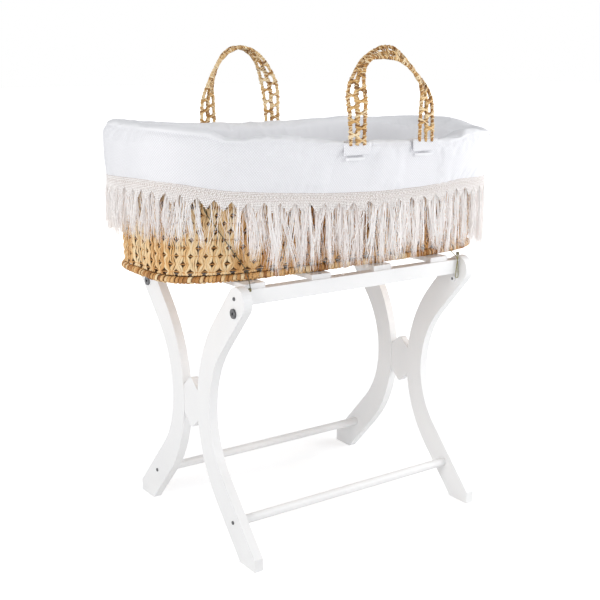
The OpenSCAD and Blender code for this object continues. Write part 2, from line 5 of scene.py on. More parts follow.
import bpy
import numpy as np
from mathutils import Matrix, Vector


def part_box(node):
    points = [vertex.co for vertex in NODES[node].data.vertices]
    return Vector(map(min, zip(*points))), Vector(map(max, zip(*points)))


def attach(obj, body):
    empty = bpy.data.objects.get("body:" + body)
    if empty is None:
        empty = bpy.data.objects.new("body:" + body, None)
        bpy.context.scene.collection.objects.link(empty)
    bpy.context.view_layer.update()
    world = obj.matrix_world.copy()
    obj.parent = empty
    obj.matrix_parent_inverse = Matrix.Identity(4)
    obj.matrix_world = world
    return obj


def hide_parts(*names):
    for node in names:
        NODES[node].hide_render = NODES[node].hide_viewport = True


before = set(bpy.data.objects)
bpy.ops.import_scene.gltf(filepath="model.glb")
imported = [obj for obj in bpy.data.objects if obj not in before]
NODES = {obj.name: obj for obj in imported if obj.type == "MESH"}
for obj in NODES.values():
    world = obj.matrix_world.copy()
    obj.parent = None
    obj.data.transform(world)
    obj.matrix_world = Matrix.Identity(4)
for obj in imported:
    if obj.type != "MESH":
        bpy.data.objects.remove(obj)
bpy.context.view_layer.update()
RNG = np.random.default_rng(7)
scene = bpy.context.scene
scene.view_settings.view_transform = "Standard"

# ---------- camera ----------

camera = bpy.data.objects.new("camera", bpy.data.cameras.new("camera"))
scene.collection.objects.link(camera)
camera.data.lens = 61.44
camera.data.sensor_width = 36
camera.data.clip_start = 0.05
camera.data.clip_end = 60
camera.location = (-1.179, -1.684, 0.919)
camera.rotation_euler = (math.radians(90 - 13.29), 0, -math.radians(34.68))
scene.camera = camera

# ---------- the basket's shape, as in part.scad ----------

BASE_Z = 0.5386  # the basket's bottom
HEIGHT = 0.230  # of the wall, up to the rim's level before its lift
LOW = (0.368, 0.153, 4.0)  # half length, half width and squareness of the outline at the bottom
HIGH = (0.374, 0.198, 3.2)  # the same at the rim
HEAD_RISE = 0.030  # of the head end above the foot end
SIDE_DIP = 0.010
RIM_Z = BASE_Z + HEIGHT
HEM_Z = RIM_Z - 0.076
INNER_Z = RIM_Z - 0.070  # where the cover ends inside the basket
TRIM_Z = HEM_Z + 0.005
COVER_R = 0.022  # radius of the cover's crest
FULL_TURN = 2 * math.pi
UP = np.array([0, 0, 1.0])


def spow(v, p):
    """Power of the size of v, with the sign of v."""
    return np.sign(v) * np.abs(v) ** p


def unit(v):
    return v / np.maximum(np.linalg.norm(v, axis=-1, keepdims=True), 1e-12)


def ease(w):
    """Smooth step, from 0 at w = 0 to 1 at w = 1."""
    w = np.clip(w, 0, 1)
    return w * w * (3 - 2 * w)


def bell(x, width, power=2):
    """1 at x = 0, and down to 0 on both sides of it."""
    return np.exp(-((x / width) ** power))


def lengths(path):
    """Distance along a path at each of its points."""
    return np.concatenate([[0], np.cumsum(np.linalg.norm(np.diff(path, axis=0), axis=1))])


def lift(q):
    """Change of the rim's height, where q is 1 at the foot end and -1 at the head end."""
    return -HEAD_RISE / 2 * q - SIDE_DIP * (1 - q * q)


def shape(a, z, o=0.0, k=1.0, hang=None):
    """Points at angle a, height z before the lift, and distance o outside the wall's middle.
    k is the share of the lift they get. hang is the height that sets the flare, if it isn't z."""
    a, z, o = np.broadcast_arrays(np.asarray(a, float), np.asarray(z, float), np.asarray(o, float))
    c, s = np.cos(a), np.sin(a)
    low, high = 2 / LOW[2], 2 / HIGH[2]
    end, side = spow(c, high), spow(s, high)
    rise = lift(end)
    f = ((z if hang is None else hang) + k * rise - BASE_Z) / (HEIGHT + rise)
    x0, y0 = LOW[0] * spow(c, low), LOW[1] * spow(s, low)
    x1, y1 = HIGH[0] * end, HIGH[1] * side
    return np.stack([x0 + (x1 - x0) * f + o * end, y0 + (y1 - y0) * f + o * side, z + k * rise], -1)


def column(a, f, o=0.0):
    """Points on the wall, at a share f of the way up from the bottom roll to the rim roll."""
    return shape(a, BASE_Z + HEIGHT * np.asarray(f, float), o, np.asarray(f, float))


TURN = np.linspace(0, FULL_TURN, 8001)
COVER_LENGTHS = lengths(shape(TURN, RIM_Z, COVER_R))
ROUND = COVER_LENGTHS[-1]  # length once round the outside of the cover


def angle(s):
    """Angle at a distance s metres round the cover, anticlockwise from the foot end."""
    return np.interp(np.mod(s, ROUND), COVER_LENGTHS, TURN)


def outward(a):
    """Level unit vector out of the cover at angle a."""
    d = shape(a + 1e-4, RIM_Z, COVER_R) - shape(a - 1e-4, RIM_Z, COVER_R)
    return unit(np.stack([d[..., 1], -d[..., 0], 0 * d[..., 0]], -1))


# ---------- mesh helpers ----------


def piece(name, verts, faces, material, body, slot, **attributes):
    """A mesh object from arrays. Attributes are one number or one vector a vertex."""
    verts = np.asarray(verts, np.float32).reshape(-1, 3)
    faces = [np.asarray(f, np.int32) for f in (faces if isinstance(faces, list) else [faces])]
    me = bpy.data.meshes.new(name)
    me.vertices.add(len(verts))
    me.vertices.foreach_set("co", verts.ravel())
    loops = np.concatenate([f.ravel() for f in faces])
    totals = np.concatenate([np.full(len(f), f.shape[1], np.int32) for f in faces])
    me.loops.add(len(loops))
    me.loops.foreach_set("vertex_index", loops)
    me.polygons.add(len(totals))
    me.polygons.foreach_set("loop_start", np.concatenate([[0], np.cumsum(totals)[:-1]]).astype(np.int32))
    me.polygons.foreach_set("loop_total", totals)
    me.update(calc_edges=True)
    me.validate()
    me.shade_smooth()
    for key, values in attributes.items():
        values = np.asarray(values, np.float32)
        kind, field = ("FLOAT", "value") if values.ndim == 1 else ("FLOAT_VECTOR", "vector")
        me.attributes.new(key, kind, "POINT").data.foreach_set(field, values.ravel())
    o = bpy.data.objects.new(name, me)
    scene.collection.objects.link(o)
    me.materials.append(material)
    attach(o, body)
    return o


def grid_faces(rows, cols, start=0, close_rows=False, close_cols=False):
    """Quads of a rows x cols grid of points, wrapped round either way."""
    r = np.arange(rows if close_rows else rows - 1)
    c = np.arange(cols if close_cols else cols - 1)
    r, c = np.meshgrid(r, c, indexing="ij")
    r2, c2 = (r + 1) % rows, (c + 1) % cols
    return np.stack([r * cols + c, r * cols + c2, r2 * cols + c2, r2 * cols + c], -1).reshape(-1, 4) + start


def cloth_flow(s, along, like):
    """Lengths round and along a cloth at each point of its grid, for the weave."""
    return np.stack(np.broadcast_arrays(s[None], along, 0 * like[..., 0]), -1).reshape(-1, 3)


def strands(paths, sides, half_width, half_thick, ring=6, tone=None):
    """Many swept strands. paths and sides are (count, steps, 3): each line and the way its width lies.
    Returns points, faces, tone and (distance along, distance round, strand number)."""
    m, n = paths.shape[:2]
    t = unit(np.gradient(paths, axis=1))
    b = unit(sides - (sides * t).sum(-1, keepdims=True) * t)
    thin = np.cross(t, b)
    w = np.broadcast_to(np.asarray(half_width, float), (m, n))[..., None]
    h = np.broadcast_to(np.asarray(half_thick, float), (m, n))[..., None]
    phi = np.arange(ring) * FULL_TURN / ring
    v = paths[:, :, None] + (w * np.cos(phi))[..., None] * b[:, :, None]
    v = v + (h * np.sin(phi))[..., None] * thin[:, :, None]
    first = (np.arange(m) * n * ring)[:, None, None]
    one = grid_faces(n, ring, close_cols=True)[:, ::-1]
    f = (one[None] + first).reshape(-1, 4)
    ends = np.concatenate([np.arange(ring)[None], (n - 1) * ring + np.arange(ring)[None, ::-1]])
    caps = (ends[None] + first).reshape(-1, ring)
    tone = RNG.random(m) if tone is None else tone
    tones = np.repeat(np.asarray(tone, float), n * ring)
    steps = np.linalg.norm(np.diff(paths, axis=1), axis=2)
    along = np.concatenate([np.zeros((m, 1)), np.cumsum(steps, axis=1)], 1)[:, :, None]
    flow = np.stack(np.broadcast_arrays(along, np.cos(phi) * w, (np.arange(m) * 0.37)[:, None, None]), -1)
    return v.reshape(-1, 3), [f, caps], tones, flow.reshape(-1, 3)


def strand(path, side, half_width, half_thick, ring, tone):
    """One swept strand."""
    return strands(path[None], np.broadcast_to(side, path.shape)[None], half_width, half_thick, ring, [tone])


def joined(parts):
    """Several strands() results as one."""
    verts, faces, tones, flows = [], [], [], []
    start = 0
    for v, fs, t, w in parts:
        verts.append(v)
        tones.append(t)
        flows.append(w)
        faces += [f + start for f in fs]
        start += len(v)
    sizes = sorted({f.shape[1] for f in faces})
    faces = [np.concatenate([f for f in faces if f.shape[1] == k]) for k in sizes]
    return np.concatenate(verts), faces, np.concatenate(tones), np.concatenate(flows)


def strand_piece(name, parts, material, body, slot):
    """A piece of several strands() results."""
    verts, faces, tone, flow = joined(parts)
    return piece(name, verts, faces, material, body, slot, tone=tone, flow=flow)


def smooth_path(points, step):
    """A Catmull-Rom curve through the points, resampled at an even step."""
    p = np.asarray(points, float)
    q = np.vstack([2 * p[0] - p[1], p, 2 * p[-1] - p[-2]])
    t = np.linspace(0, 1, 24, endpoint=False)[:, None]
    out = []
    for a, b, c, d in zip(q, q[1:], q[2:], q[3:]):
        square = 2 * a - 5 * b + 4 * c - d
        cube = 3 * b - 3 * c + d - a
        out.append(0.5 * (2 * b + (c - a) * t + square * t**2 + cube * t**3))
    curve = np.vstack(out + [q[-2][None]])
    along = lengths(curve)
    s = np.linspace(0, along[-1], max(3, int(round(along[-1] / step)) + 1))
    return np.stack([np.interp(s, along, curve[:, k]) for k in range(3)], 1)


def twisted(path, side, radius, offset, pitch, tone, phase=0.0):
    """A cord of three plies laid round a path."""
    t = unit(np.gradient(path, axis=0))
    b = unit(side - (side * t).sum(-1, keepdims=True) * t)
    n = np.cross(t, b)
    phi = phase + FULL_TURN * (lengths(path)[None] / pitch + np.arange(3)[:, None] / 3)
    out = np.cos(phi)[..., None] * b + np.sin(phi)[..., None] * n
    sides = np.cross(np.broadcast_to(t, out.shape), out)
    return strands(path[None] + offset * out, sides, radius, radius, tone=tone)


# ---------- materials ----------


class Nodes:
    """A node material in short form."""

    def __init__(self, name):
        self.material = bpy.data.materials.new(name)
        self.material.use_nodes = True
        self.tree = self.material.node_tree
        self.shader = next(n for n in self.tree.nodes if n.type == "BSDF_PRINCIPLED")

    def add(self, kind, links=None, **values):
        n = self.tree.nodes.new("ShaderNode" + kind)
        for k, v in values.items():
            setattr(n, k, v)
        for k, v in (links or {}).items():
            self.set(n.inputs[k], v)
        return n

    def set(self, socket, value):
        if isinstance(value, bpy.types.NodeSocket):
            self.tree.links.new(value, socket)
        else:
            socket.default_value = value

    def place(self):
        return self.add("TexCoord").outputs["Object"]

    def attribute(self, name, output="Vector"):
        return self.add("Attribute", attribute_name=name).outputs[output]

    def noise(self, vector, scale, detail=3.0, rough=0.5):
        links = {"Vector": vector, "Scale": scale, "Detail": detail, "Roughness": rough}
        return self.add("TexNoise", links).outputs["Fac"]

    def scaled(self, vector, x, y, z):
        return self.add("VectorMath", {0: vector, 1: (x, y, z)}, operation="MULTIPLY").outputs[0]

    def math(self, operation, a, b=0.0):
        return self.add("Math", {0: a, 1: b}, operation=operation).outputs[0]

    def blend(self, *terms):
        """Sum of values, each times its share."""
        total = None
        for value, share in terms:
            part = self.math("MULTIPLY", value, share)
            total = part if total is None else self.math("ADD", total, part)
        return total

    def spread(self, value, low, high):
        """A value from 0 to 1, mapped to low to high."""
        return self.add("MapRange", {"Value": value, "To Min": low, "To Max": high}).outputs[0]

    def ramp(self, fac, *stops):
        n = self.add("ValToRGB", {"Fac": fac})
        e = n.color_ramp.elements
        while len(e) < len(stops):
            e.new(0.5)
        for el, (at, colour) in zip(e, stops):
            el.position = at
            el.color = (*colour, 1)
        return n.outputs[0]

    def mix(self, fac, a, b):
        n = self.add("Mix", data_type="RGBA", blend_type="MIX")
        for s, v in ((n.inputs[0], fac), (n.inputs[6], a), (n.inputs[7], b)):
            self.set(s, (*v, 1) if isinstance(v, tuple) else v)
        return n.outputs[2]

    def bump(self, height, distance, strength=1.0, normal=None):
        links = {"Height": height, "Distance": distance, "Strength": strength}
        if normal is not None:
            links["Normal"] = normal
        return self.add("Bump", links).outputs[0]

    def finish(self, colour, normal, roughness, **sockets):
        """Set the shader's sockets, whose names have _ for each space, and give the material."""
        self.set(self.shader.inputs["Base Color"], (*colour, 1) if isinstance(colour, tuple) else colour)
        if normal is not None:
            self.set(self.shader.inputs["Normal"], normal)
        self.set(self.shader.inputs["Roughness"], roughness)
        for name, value in sockets.items():
            self.set(self.shader.inputs[name.replace("_", " ")], value)
        return self.material


def paint():
    m = Nodes("white_paint")
    at = m.place()
    coarse = m.noise(m.scaled(at, 3, 3, 1.2), 3.0)
    grain = m.noise(m.scaled(at, 60, 60, 9), 4.0, 6, 0.6)
    fine = m.noise(at, 900, 2)
    edge = m.add("NewGeometry").outputs["Pointiness"]
    colour = m.ramp(coarse, (0.3, (0.79, 0.79, 0.80)), (0.7, (0.85, 0.85, 0.855)))
    # painted highlight: the paint turns paler on convex arrises, found by Pointiness, as where light catches
    # an edge
    colour = m.mix(m.ramp(edge, (0.5, (0, 0, 0)), (0.62, (0.35, 0.35, 0.35))), colour, (0.88, 0.875, 0.86))
    height = m.blend((grain, 0.7), (fine, 0.3))
    return m.finish(colour, m.bump(height, 0.0004, 0.5), m.spread(grain, 0.38, 0.52))


def steel():
    m = Nodes("dark_steel")
    at = m.place()
    worn = m.noise(at, 260, 4)
    colour = m.ramp(worn, (0.35, (0.075, 0.075, 0.08)), (0.75, (0.20, 0.20, 0.205)))
    normal = m.bump(m.noise(at, 1500, 2), 0.0001, 0.6)
    return m.finish(colour, normal, m.spread(worn, 0.32, 0.55), Metallic=0.85)


def leaf(name, stops, dark=0.35):
    """Dry leaf: streaks along each strand, patches, and darker strands here and there."""
    m = Nodes(name)
    flow, tone = m.attribute("flow"), m.attribute("tone", "Fac")
    streak = m.noise(m.scaled(flow, 30, 1500, 40), 1.0, 4, 0.65)
    patch = m.noise(m.scaled(flow, 45, 60, 40), 1.0, 2)
    colour = m.ramp(m.blend((tone, 0.55), (patch, 0.35), (streak, 0.30)), *stops)
    # darker streaks along the strands, placed by noise; strongest on the handles' leaf
    dark_streaks = m.ramp(streak, (0.30, (dark,) * 3), (0.46, (0, 0, 0)))
    colour = m.mix(dark_streaks, colour, (0.10, 0.045, 0.015))
    normal = m.bump(streak, 0.0008, 0.8)
    return m.finish(colour, normal, m.spread(streak, 0.45, 0.7), Specular_IOR_Level=0.4)


def leaf_plain():
    """Leaf for the CAD nodes, which carry no strand coordinates."""
    m = Nodes("leaf_plain")
    at = m.place()
    streak = m.noise(m.scaled(at, 700, 700, 60), 1.0, 4, 0.65)
    colour = m.ramp(m.blend((m.noise(at, 30, 2), 0.5), (streak, 0.5)), *LEAF_STOPS)
    return m.finish(colour, m.bump(streak, 0.0008, 0.8), 0.6)


def shade_leaf():
    # painted shade: a dark brown leaf for the sheet behind the weave, standing for the shade in the holes
    # between the bundles
    m = Nodes("shade_leaf")
    streak = m.noise(m.scaled(m.attribute("flow"), 30, 900, 40), 1.0, 4, 0.65)
    colour = m.ramp(streak, (0.3, (0.075, 0.034, 0.011)), (0.7, (0.20, 0.105, 0.04)))
    return m.finish(colour, m.bump(streak, 0.001, 0.8), 0.8)


def cord_silk():
    m = Nodes("olive_cord")
    flow = m.attribute("flow")
    streak = m.noise(m.scaled(flow, 120, 3000, 10), 1.0, 3)
    level = m.blend((m.attribute("tone", "Fac"), 0.75), (streak, 0.25))
    dark, pale = (0.2, (0.025, 0.02, 0.012)), (0.85, (0.42, 0.37, 0.14))
    colour = m.ramp(level, dark, (0.5, (0.17, 0.145, 0.045)), pale)
    return m.finish(colour, m.bump(streak, 0.0002, 0.7), 0.5, Sheen_Weight=0.3)


def fabric(name, tint, diamond=None):
    """White cotton. Its threads follow the cloth by the stored lengths along and across it.
    diamond is the side of the diamonds of a pique, in metres."""
    m = Nodes(name)
    flow = m.attribute("flow")
    sep = m.add("SeparateXYZ", {0: flow})
    x, y = sep.outputs[0], sep.outputs[1]

    def wave(v, pitch):
        return m.math("SINE", m.math("MULTIPLY", v, FULL_TURN / pitch))

    weave = m.math("MULTIPLY", wave(x, 0.0009), wave(y, 0.0009))
    slub = m.noise(m.scaled(flow, 900, 160, 1), 1.0, 3)
    normal = m.bump(m.blend((weave, 0.25), (slub, 0.5)), 0.00035, 0.5)
    cloudy = m.noise(m.scaled(flow, 14, 14, 1), 1.0, 2)
    colour = m.ramp(cloudy, (0.3, tuple(0.965 * c for c in tint)), (0.7, tint))
    if diamond:
        slant = 2 * diamond * math.sqrt(2)
        ridges = []
        for way in ("ADD", "SUBTRACT"):
            ridges.append(m.math("POWER", m.math("ABSOLUTE", wave(m.math(way, x, y), slant)), 8.0))
        ridge = m.math("MAXIMUM", *ridges)
        normal = m.bump(ridge, 0.0005, 0.7, normal)
        # painted shade: the pique's diamond lines are darkened in colour, for the shade of their relief
        colour = m.mix(ridge, colour, tuple(0.85 * c for c in tint))
    return m.finish(colour, normal, 0.85, Sheen_Weight=0.15, Specular_IOR_Level=0.25)


def lace():
    m = Nodes("lace")
    streak = m.noise(m.scaled(m.attribute("flow"), 900, 900, 300), 1.0, 3)
    level = m.blend((m.attribute("tone", "Fac"), 0.5), (streak, 0.5))
    # the darkest stop is painted shade, for the tape behind the knots and the cord along the trim's top
    colour = m.ramp(level, (0.16, (0.44, 0.36, 0.32)), (0.34, (0.90, 0.86, 0.84)), (0.85, (0.97, 0.95, 0.94)))
    return m.finish(colour, m.bump(streak, 0.0004, 0.8), 0.8)


def feather():
    m = Nodes("feather")
    streak = m.noise(m.scaled(m.attribute("flow"), 25, 2500, 40), 1.0, 3)
    level = m.blend((m.attribute("tone", "Fac"), 0.8), (streak, 0.2))
    dark, middle = (0.05, (0.58, 0.46, 0.40)), (0.25, (0.84, 0.78, 0.755))
    colour = m.ramp(level, dark, middle, (0.55, (0.91, 0.875, 0.86)), (0.9, (0.95, 0.93, 0.92)))
    m.set(m.shader.inputs["Emission Color"], colour)
    normal = m.bump(streak, 0.0003, 0.6)
    glow = 0.12  # light that comes through the strips, which are solid here
    return m.finish(colour, normal, 0.6, Sheen_Weight=0.1, Specular_IOR_Level=0.35, Emission_Strength=glow)


LEAF_STOPS = (
    (0.22, (0.20, 0.075, 0.02)), (0.42, (0.52, 0.24, 0.07)),
    (0.62, (0.76, 0.46, 0.19)), (0.85, (0.90, 0.71, 0.44)),
)
HANDLE_STOPS = (
    (0.24, (0.08, 0.03, 0.01)), (0.46, (0.46, 0.22, 0.06)),
    (0.62, (0.74, 0.46, 0.17)), (0.82, (0.94, 0.76, 0.49)),
)
WHITE_PAINT = paint()
STEEL = steel()
BASKET_LEAF = leaf("basket_leaf", LEAF_STOPS)
HANDLE_LEAF = leaf("handle_leaf", HANDLE_STOPS, 0.9)
OLIVE = cord_silk()
LEAF_PLAIN = leaf_plain()
SHADE_LEAF = shade_leaf()
PIQUE = fabric("white_pique", (0.90, 0.90, 0.93), diamond=0.0036)
COTTON = fabric("plain_cotton", (0.84, 0.84, 0.86))
TICKING = fabric("mattress_cotton", (0.84, 0.84, 0.845))
LACE = lace()
FEATHER = feather()

# ---------- tie cords ----------

# points from the basket down to the stand (mm)
TIE_LEFT = [
    [-318, -148, 684], [-316, -148.5, 662], [-298, -152, 634], [-279, -154.5, 606],
    [-259, -155.5, 578], [-240, -157, 552], [-240.5, -163, 542], [-243.5, -173, 534], [-246.5, -181, 527.5],
    [-248.1, -183.9, 518.5],
]
TIE_RIGHT = [
    [308, -153.5, 684], [300, -155, 662], [286, -156.5, 634], [271, -157, 606],
    [256, -157, 578], [241, -157, 552], [241.5, -163, 542], [243.5, -173, 534], [246.5, -181, 527.5],
    [248.4, -184.3, 519], [250, -184.4, 506], [250.7, -184.6, 494], [250.7, -184.8, 486.5],
    [249.6, -185, 483.9], [247, -185.2, 482.8], [244.4, -185.4, 483.9], [243.3, -185.6, 486.5],
    [243.4, -186, 497], [244.4, -186.4, 509], [245.8, -187, 521], [246.4, -187.2, 532],
]


def tie(name, node, route, tones):
    path = smooth_path(np.array(route) / 1000, 0.0008)
    side = np.broadcast_to(np.array([0.3, 0.9, 0.2]), path.shape)
    plies = twisted(path, side, 0.00054, 0.00042, 0.0065, tones)
    cord = strand_piece(name, [plies], OLIVE, "basket", "tie_cord")
    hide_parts(node)
    # the knot that finishes the cord at the rail: three tilted turns
    u = np.linspace(0, FULL_TURN, 40)
    centre = path[-1] + np.array([0.0004, 0.0018, 0.0])
    turns = []
    for dz, tilt in ((0.0, 0.35), (0.0017, -0.3), (0.0034, 0.3)):
        x = 0.0021 * np.cos(u)
        loop = np.stack([x, 0.0031 * np.sin(u), dz + tilt * x], 1) + centre
        turns.append(strand(loop, UP, 0.0009, 0.0009, 6, 0.5))
    knot = strand_piece(name + "_knot", turns, OLIVE, "basket", "tie_cord")


tie("tie_left", "tie_cord_left", TIE_LEFT, [0.0, 0.0, 0.55])
tie("tie_right", "tie_cord_right", TIE_RIGHT, [0.5, 0.75, 1.0])

# ---------- stand, and the CAD nodes of the basket that stay ----------

SHARP = math.radians(35)  # an edge that turns by more than this is an arris


def dress(name, material, bevel=None):
    """A CAD node that stays, with its finish and softened edges."""
    o = NODES[name]
    o.data.materials.clear()
    o.data.materials.append(material)
    o.data.shade_smooth()
    if bevel:
        b = o.modifiers.new("arris", "BEVEL")
        b.width = bevel
        b.segments = 3
        b.limit_method = "ANGLE"
        b.angle_limit = SHARP
        b.harden_normals = True
    else:
        o.modifiers.new("edges", "EDGE_SPLIT").split_angle = SHARP


for n in ("leg_front_left", "leg_rear_left", "leg_front_right", "leg_rear_right"):
    dress(n, WHITE_PAINT, 0.0022)
for n in ("waist_block_left", "waist_block_right", "rail_front", "rail_rear"):
    dress(n, WHITE_PAINT, 0.0014)
for n in range(1, 5):
    dress(f"slat_{n}", WHITE_PAINT, 0.0014)
for n in ("stretcher_front", "stretcher_rear", "waist_dowels", "bolt_nuts"):
    dress(n, WHITE_PAINT)
for n in ("frame_bolts", "rail_screws", "stretcher_screws", "slat_screws"):
    dress(n, STEEL)
dress("basket_bottom", LEAF_PLAIN)
dress("basket_rim_roll", LEAF_PLAIN)
dress("handle_roots", COTTON)

# ---------- woven wall ----------

ROWS = [0.0112 + 0.0142 * r for r in range(15)]  # height of each row of ties above the basket's bottom
BUNDLES = 68
LEAVES = 6  # in a bundle
WALL_LENGTHS = lengths(column(TURN, 0.45))
WALL_ROUND = WALL_LENGTHS[-1]


def wall_angle(u):
    """Angle at a share u of the way round the wall."""
    return np.interp(np.mod(u, 1.0) * WALL_ROUND, WALL_LENGTHS, TURN)


def wall_weave():
    """Leaf bundles side by side, drawn together at each row, with holes between them there, which a sheet of
    painted shade behind them makes dark.
    """
    z = np.linspace(0.0062, 0.217, 130)
    number = np.arange(len(ROWS))
    height = np.where(number > 0, 0.0038, 0.0050)
    pinch = bell(z[:, None] - np.array(ROWS)[None], height[None])
    crease = pinch.max(1)
    pitch = WALL_ROUND / BUNDLES
    paths, sides, widths, tones = [], [], [], []
    slack = 1 + 0.45 * RNG.standard_normal((BUNDLES + 1, len(ROWS)))
    slack[-1] = slack[0]
    for i in range(BUNDLES):
        c = (i + 0.5) * pitch
        before, after = (column(wall_angle(c / WALL_ROUND + step), 0.5) for step in (-0.0006, 0.0006))
        hue = RNG.random()
        for k in range(LEAVES):
            side = (k - (LEAVES - 1) / 2) / ((LEAVES - 1) / 2)
            rest = 0.5 * pitch * 0.88 * side
            half = 0.5 * pitch * np.sign(side)
            place = np.full(len(z), rest)
            for r in number:
                # even rows draw a bundle together; odd rows tie its halves to the neighbours' halves
                if r == 0:
                    pull, to = max(0.58, 0.72 * slack[i, r]), 0.0
                elif r % 2 == 0:
                    pull, to = 0.40 * slack[i, r], 0.0
                else:
                    pull, to = 0.42 * slack[i + (1 if side > 0 else 0), r], half
                place += np.clip(pull, 0.05, 0.8) * pinch[:, r] * (to - rest) * (1.0 if r % 2 == 0 else 0.8)
            wander = 0.0005 * np.sin(z * RNG.uniform(50, 130) + RNG.uniform(0, 6.3))
            belly = 0.0026 * (1 - crease) * (1 - 0.35 * side**2) + 0.0007 * ((k + i) % 2)
            belly = belly + 0.0003 * RNG.standard_normal()
            line = column(wall_angle((c + place + wander) / WALL_ROUND), z / HEIGHT, -0.0004 + belly)
            paths.append(line)
            sides.append(np.broadcast_to(unit(after - before), line.shape))
            widths.append(RNG.uniform(0.0019, 0.0027) * (1 - 0.35 * crease))
            # painted light: the strands at the head end are made paler, as light falls on that end
            pale = np.clip((-0.12 - line[60, 0]) / 0.15, 0, 1)  # the head end is paler
            tones.append(np.clip(0.45 * RNG.random() + 0.35 * hue - 0.08 + 0.34 * pale, 0, 1))
    thick = 0.0009 + 0.0003 * crease[None]
    parts = [strands(np.array(paths), np.array(sides), np.array(widths), thick, tone=np.array(tones))]
    # the ties: two strands that wind round each other along each row
    steps = BUNDLES * 8
    u = np.arange(steps + 1) / steps
    for r, middle in enumerate(ROWS):
        for which in (0, 1):
            phase = np.pi * (u * BUNDLES - 0.5) + np.pi * ((which + r) % 2)
            level = middle + 0.0008 * (1 if which else -1) * np.sin(phase + 0.4)
            level = level + 0.0004 * np.sin(u * 61 * r)
            line = column(wall_angle(u), level / HEIGHT, -0.0022 + 0.0030 * np.cos(phase))
            parts.append(strand(line, UP, 0.0010, 0.0007, 6, 0.10 + 0.25 * RNG.random()))
    wall = strand_piece("woven_wall", parts, BASKET_LEAF, "basket", "basket_leaf")
    # painted shade: a dark sheet behind the bundles, so the holes between them look shaded
    cols = 240
    a = np.linspace(0, FULL_TURN, cols + 1)[:-1]
    up = np.linspace(0.0092, 0.2205, 12)
    level = np.concatenate([up, up[::-1]])[:, None]
    depth = np.repeat([-0.0021, -0.0034], len(up))[:, None]
    g = column(a[None], level / HEIGHT, depth)
    faces = grid_faces(len(level), cols, close_rows=True, close_cols=True)
    flow = np.stack(np.broadcast_arrays(level, np.arange(cols) * 0.0078, 0 * g[..., 0]), -1)
    piece("wall_shade_sheet", g, faces[:, ::-1], SHADE_LEAF, "basket", "basket_leaf", flow=flow)
    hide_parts("wall_head", "wall_foot", "wall_front", "wall_rear")


def base_wraps():
    """The bottom roll: leaf wound round a core."""
    out, z = 0.0015, BASE_Z - 0.0020  # middle of the roll
    a = np.linspace(0, FULL_TURN, 4001)
    along = lengths(shape(a, z, out, 0.0, hang=BASE_Z))
    total = along[-1]
    count = int(total / 0.0074)
    phi = np.linspace(0, FULL_TURN, 19)
    paths, sides, widths = [], [], []
    for i in range(count):
        s = (i + 0.3 * RNG.random()) * total / count + 0.0022 * phi / math.pi
        at = np.interp(np.mod(s, total), along, a)
        r = 0.0058 + 0.0004 * RNG.standard_normal()
        paths.append(shape(at, z + r * np.sin(phi - 0.6), out + r * np.cos(phi - 0.6), 0.0, hang=BASE_Z))
        sides.append(unit(shape(at + 1e-3, BASE_Z, 0, 0.0) - shape(at - 1e-3, BASE_Z, 0, 0.0)))
        widths.append(np.full(19, RNG.uniform(0.0026, 0.0040)))
    wraps = strands(np.array(paths), np.array(sides), np.array(widths), 0.0010)
    line = shape(np.linspace(0, FULL_TURN, 241), z, out, 0.0, hang=BASE_Z)
    # painted shade: the core takes tone 0, the darkest, so it shows as dark lines between the wraps
    core = strand(line, UP, 0.0050, 0.0050, 10, 0.0)
    roll = strand_piece("base_roll", [wraps, core], BASKET_LEAF, "basket", "basket_leaf")
    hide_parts("basket_base_roll")


wall_weave()
base_wraps()

# ---------- padded cover ----------

# how far the hem hangs off the CAD's level, by x, on the near side
HEM_X = [-0.40, -0.37, -0.287, -0.16, -0.079, 0.018, 0.122, 0.231, 0.33, 0.40]
HEM_D = [0.002, 0.002, -0.006, -0.0074, -0.009, -0.009, -0.005, 0.004, 0.001, 0.0]
# how far the crest stands above the CAD's, by x, on the near side and on the far side
NEAR_X = [
    -0.40, -0.345, -0.325, -0.30, -0.27, -0.25, -0.20, -0.154, -0.067,
    0.013, 0.105, 0.181, 0.23, 0.27, 0.30, 0.33, 0.365, 0.39,
]
NEAR_D = [
    0.004, 0.002, 0.0, -0.008, -0.007, -0.004, 0.0, -0.002, -0.006,
    -0.003, -0.003, -0.005, 0.0, 0.008, 0.008, 0.005, 0.003, 0.003,
]
FAR_X = [-0.40, -0.30, -0.15, -0.02, 0.09, 0.17, 0.25, 0.33, 0.39]
FAR_D = [0.004, 0.004, 0.005, 0.008, 0.012, 0.017, 0.020, 0.019, 0.017]


def sag(a):
    """Change of the hem's height at angle a."""
    p = shape(a, RIM_Z, COVER_R)
    near = ease(0.5 - p[..., 1] / 0.2)
    return near * np.interp(p[..., 0], HEM_X, HEM_D) + (1 - near) * -0.004


def crest(a):
    """Change of the crest's height at angle a."""
    p = shape(a, RIM_Z, COVER_R)
    near = ease(0.5 - (p[..., 1] + 0.045) / 0.13)
    return near * np.interp(p[..., 0], NEAR_X, NEAR_D) + (1 - near) * np.interp(p[..., 0], FAR_X, FAR_D)


SEAM = 0.0885  # length up the cover's outside from its hem to the seam below the crest
HINGE_Y = 0.2268
HINGE_Z = {-1: 0.74971, 1: 0.751004}  # by side: -1 is the front
LEGS = [(-0.046, -1), (0.116, -1), (-0.094, 1), (0.068, 1)]  # x of each leg of the handles, and its side
CUFF_HALF = 0.0288  # half the width of a leg's cuff
CUFF_LOW = 0.0001  # ends of a cuff, above the hinge
CUFF_TOP = 0.0225


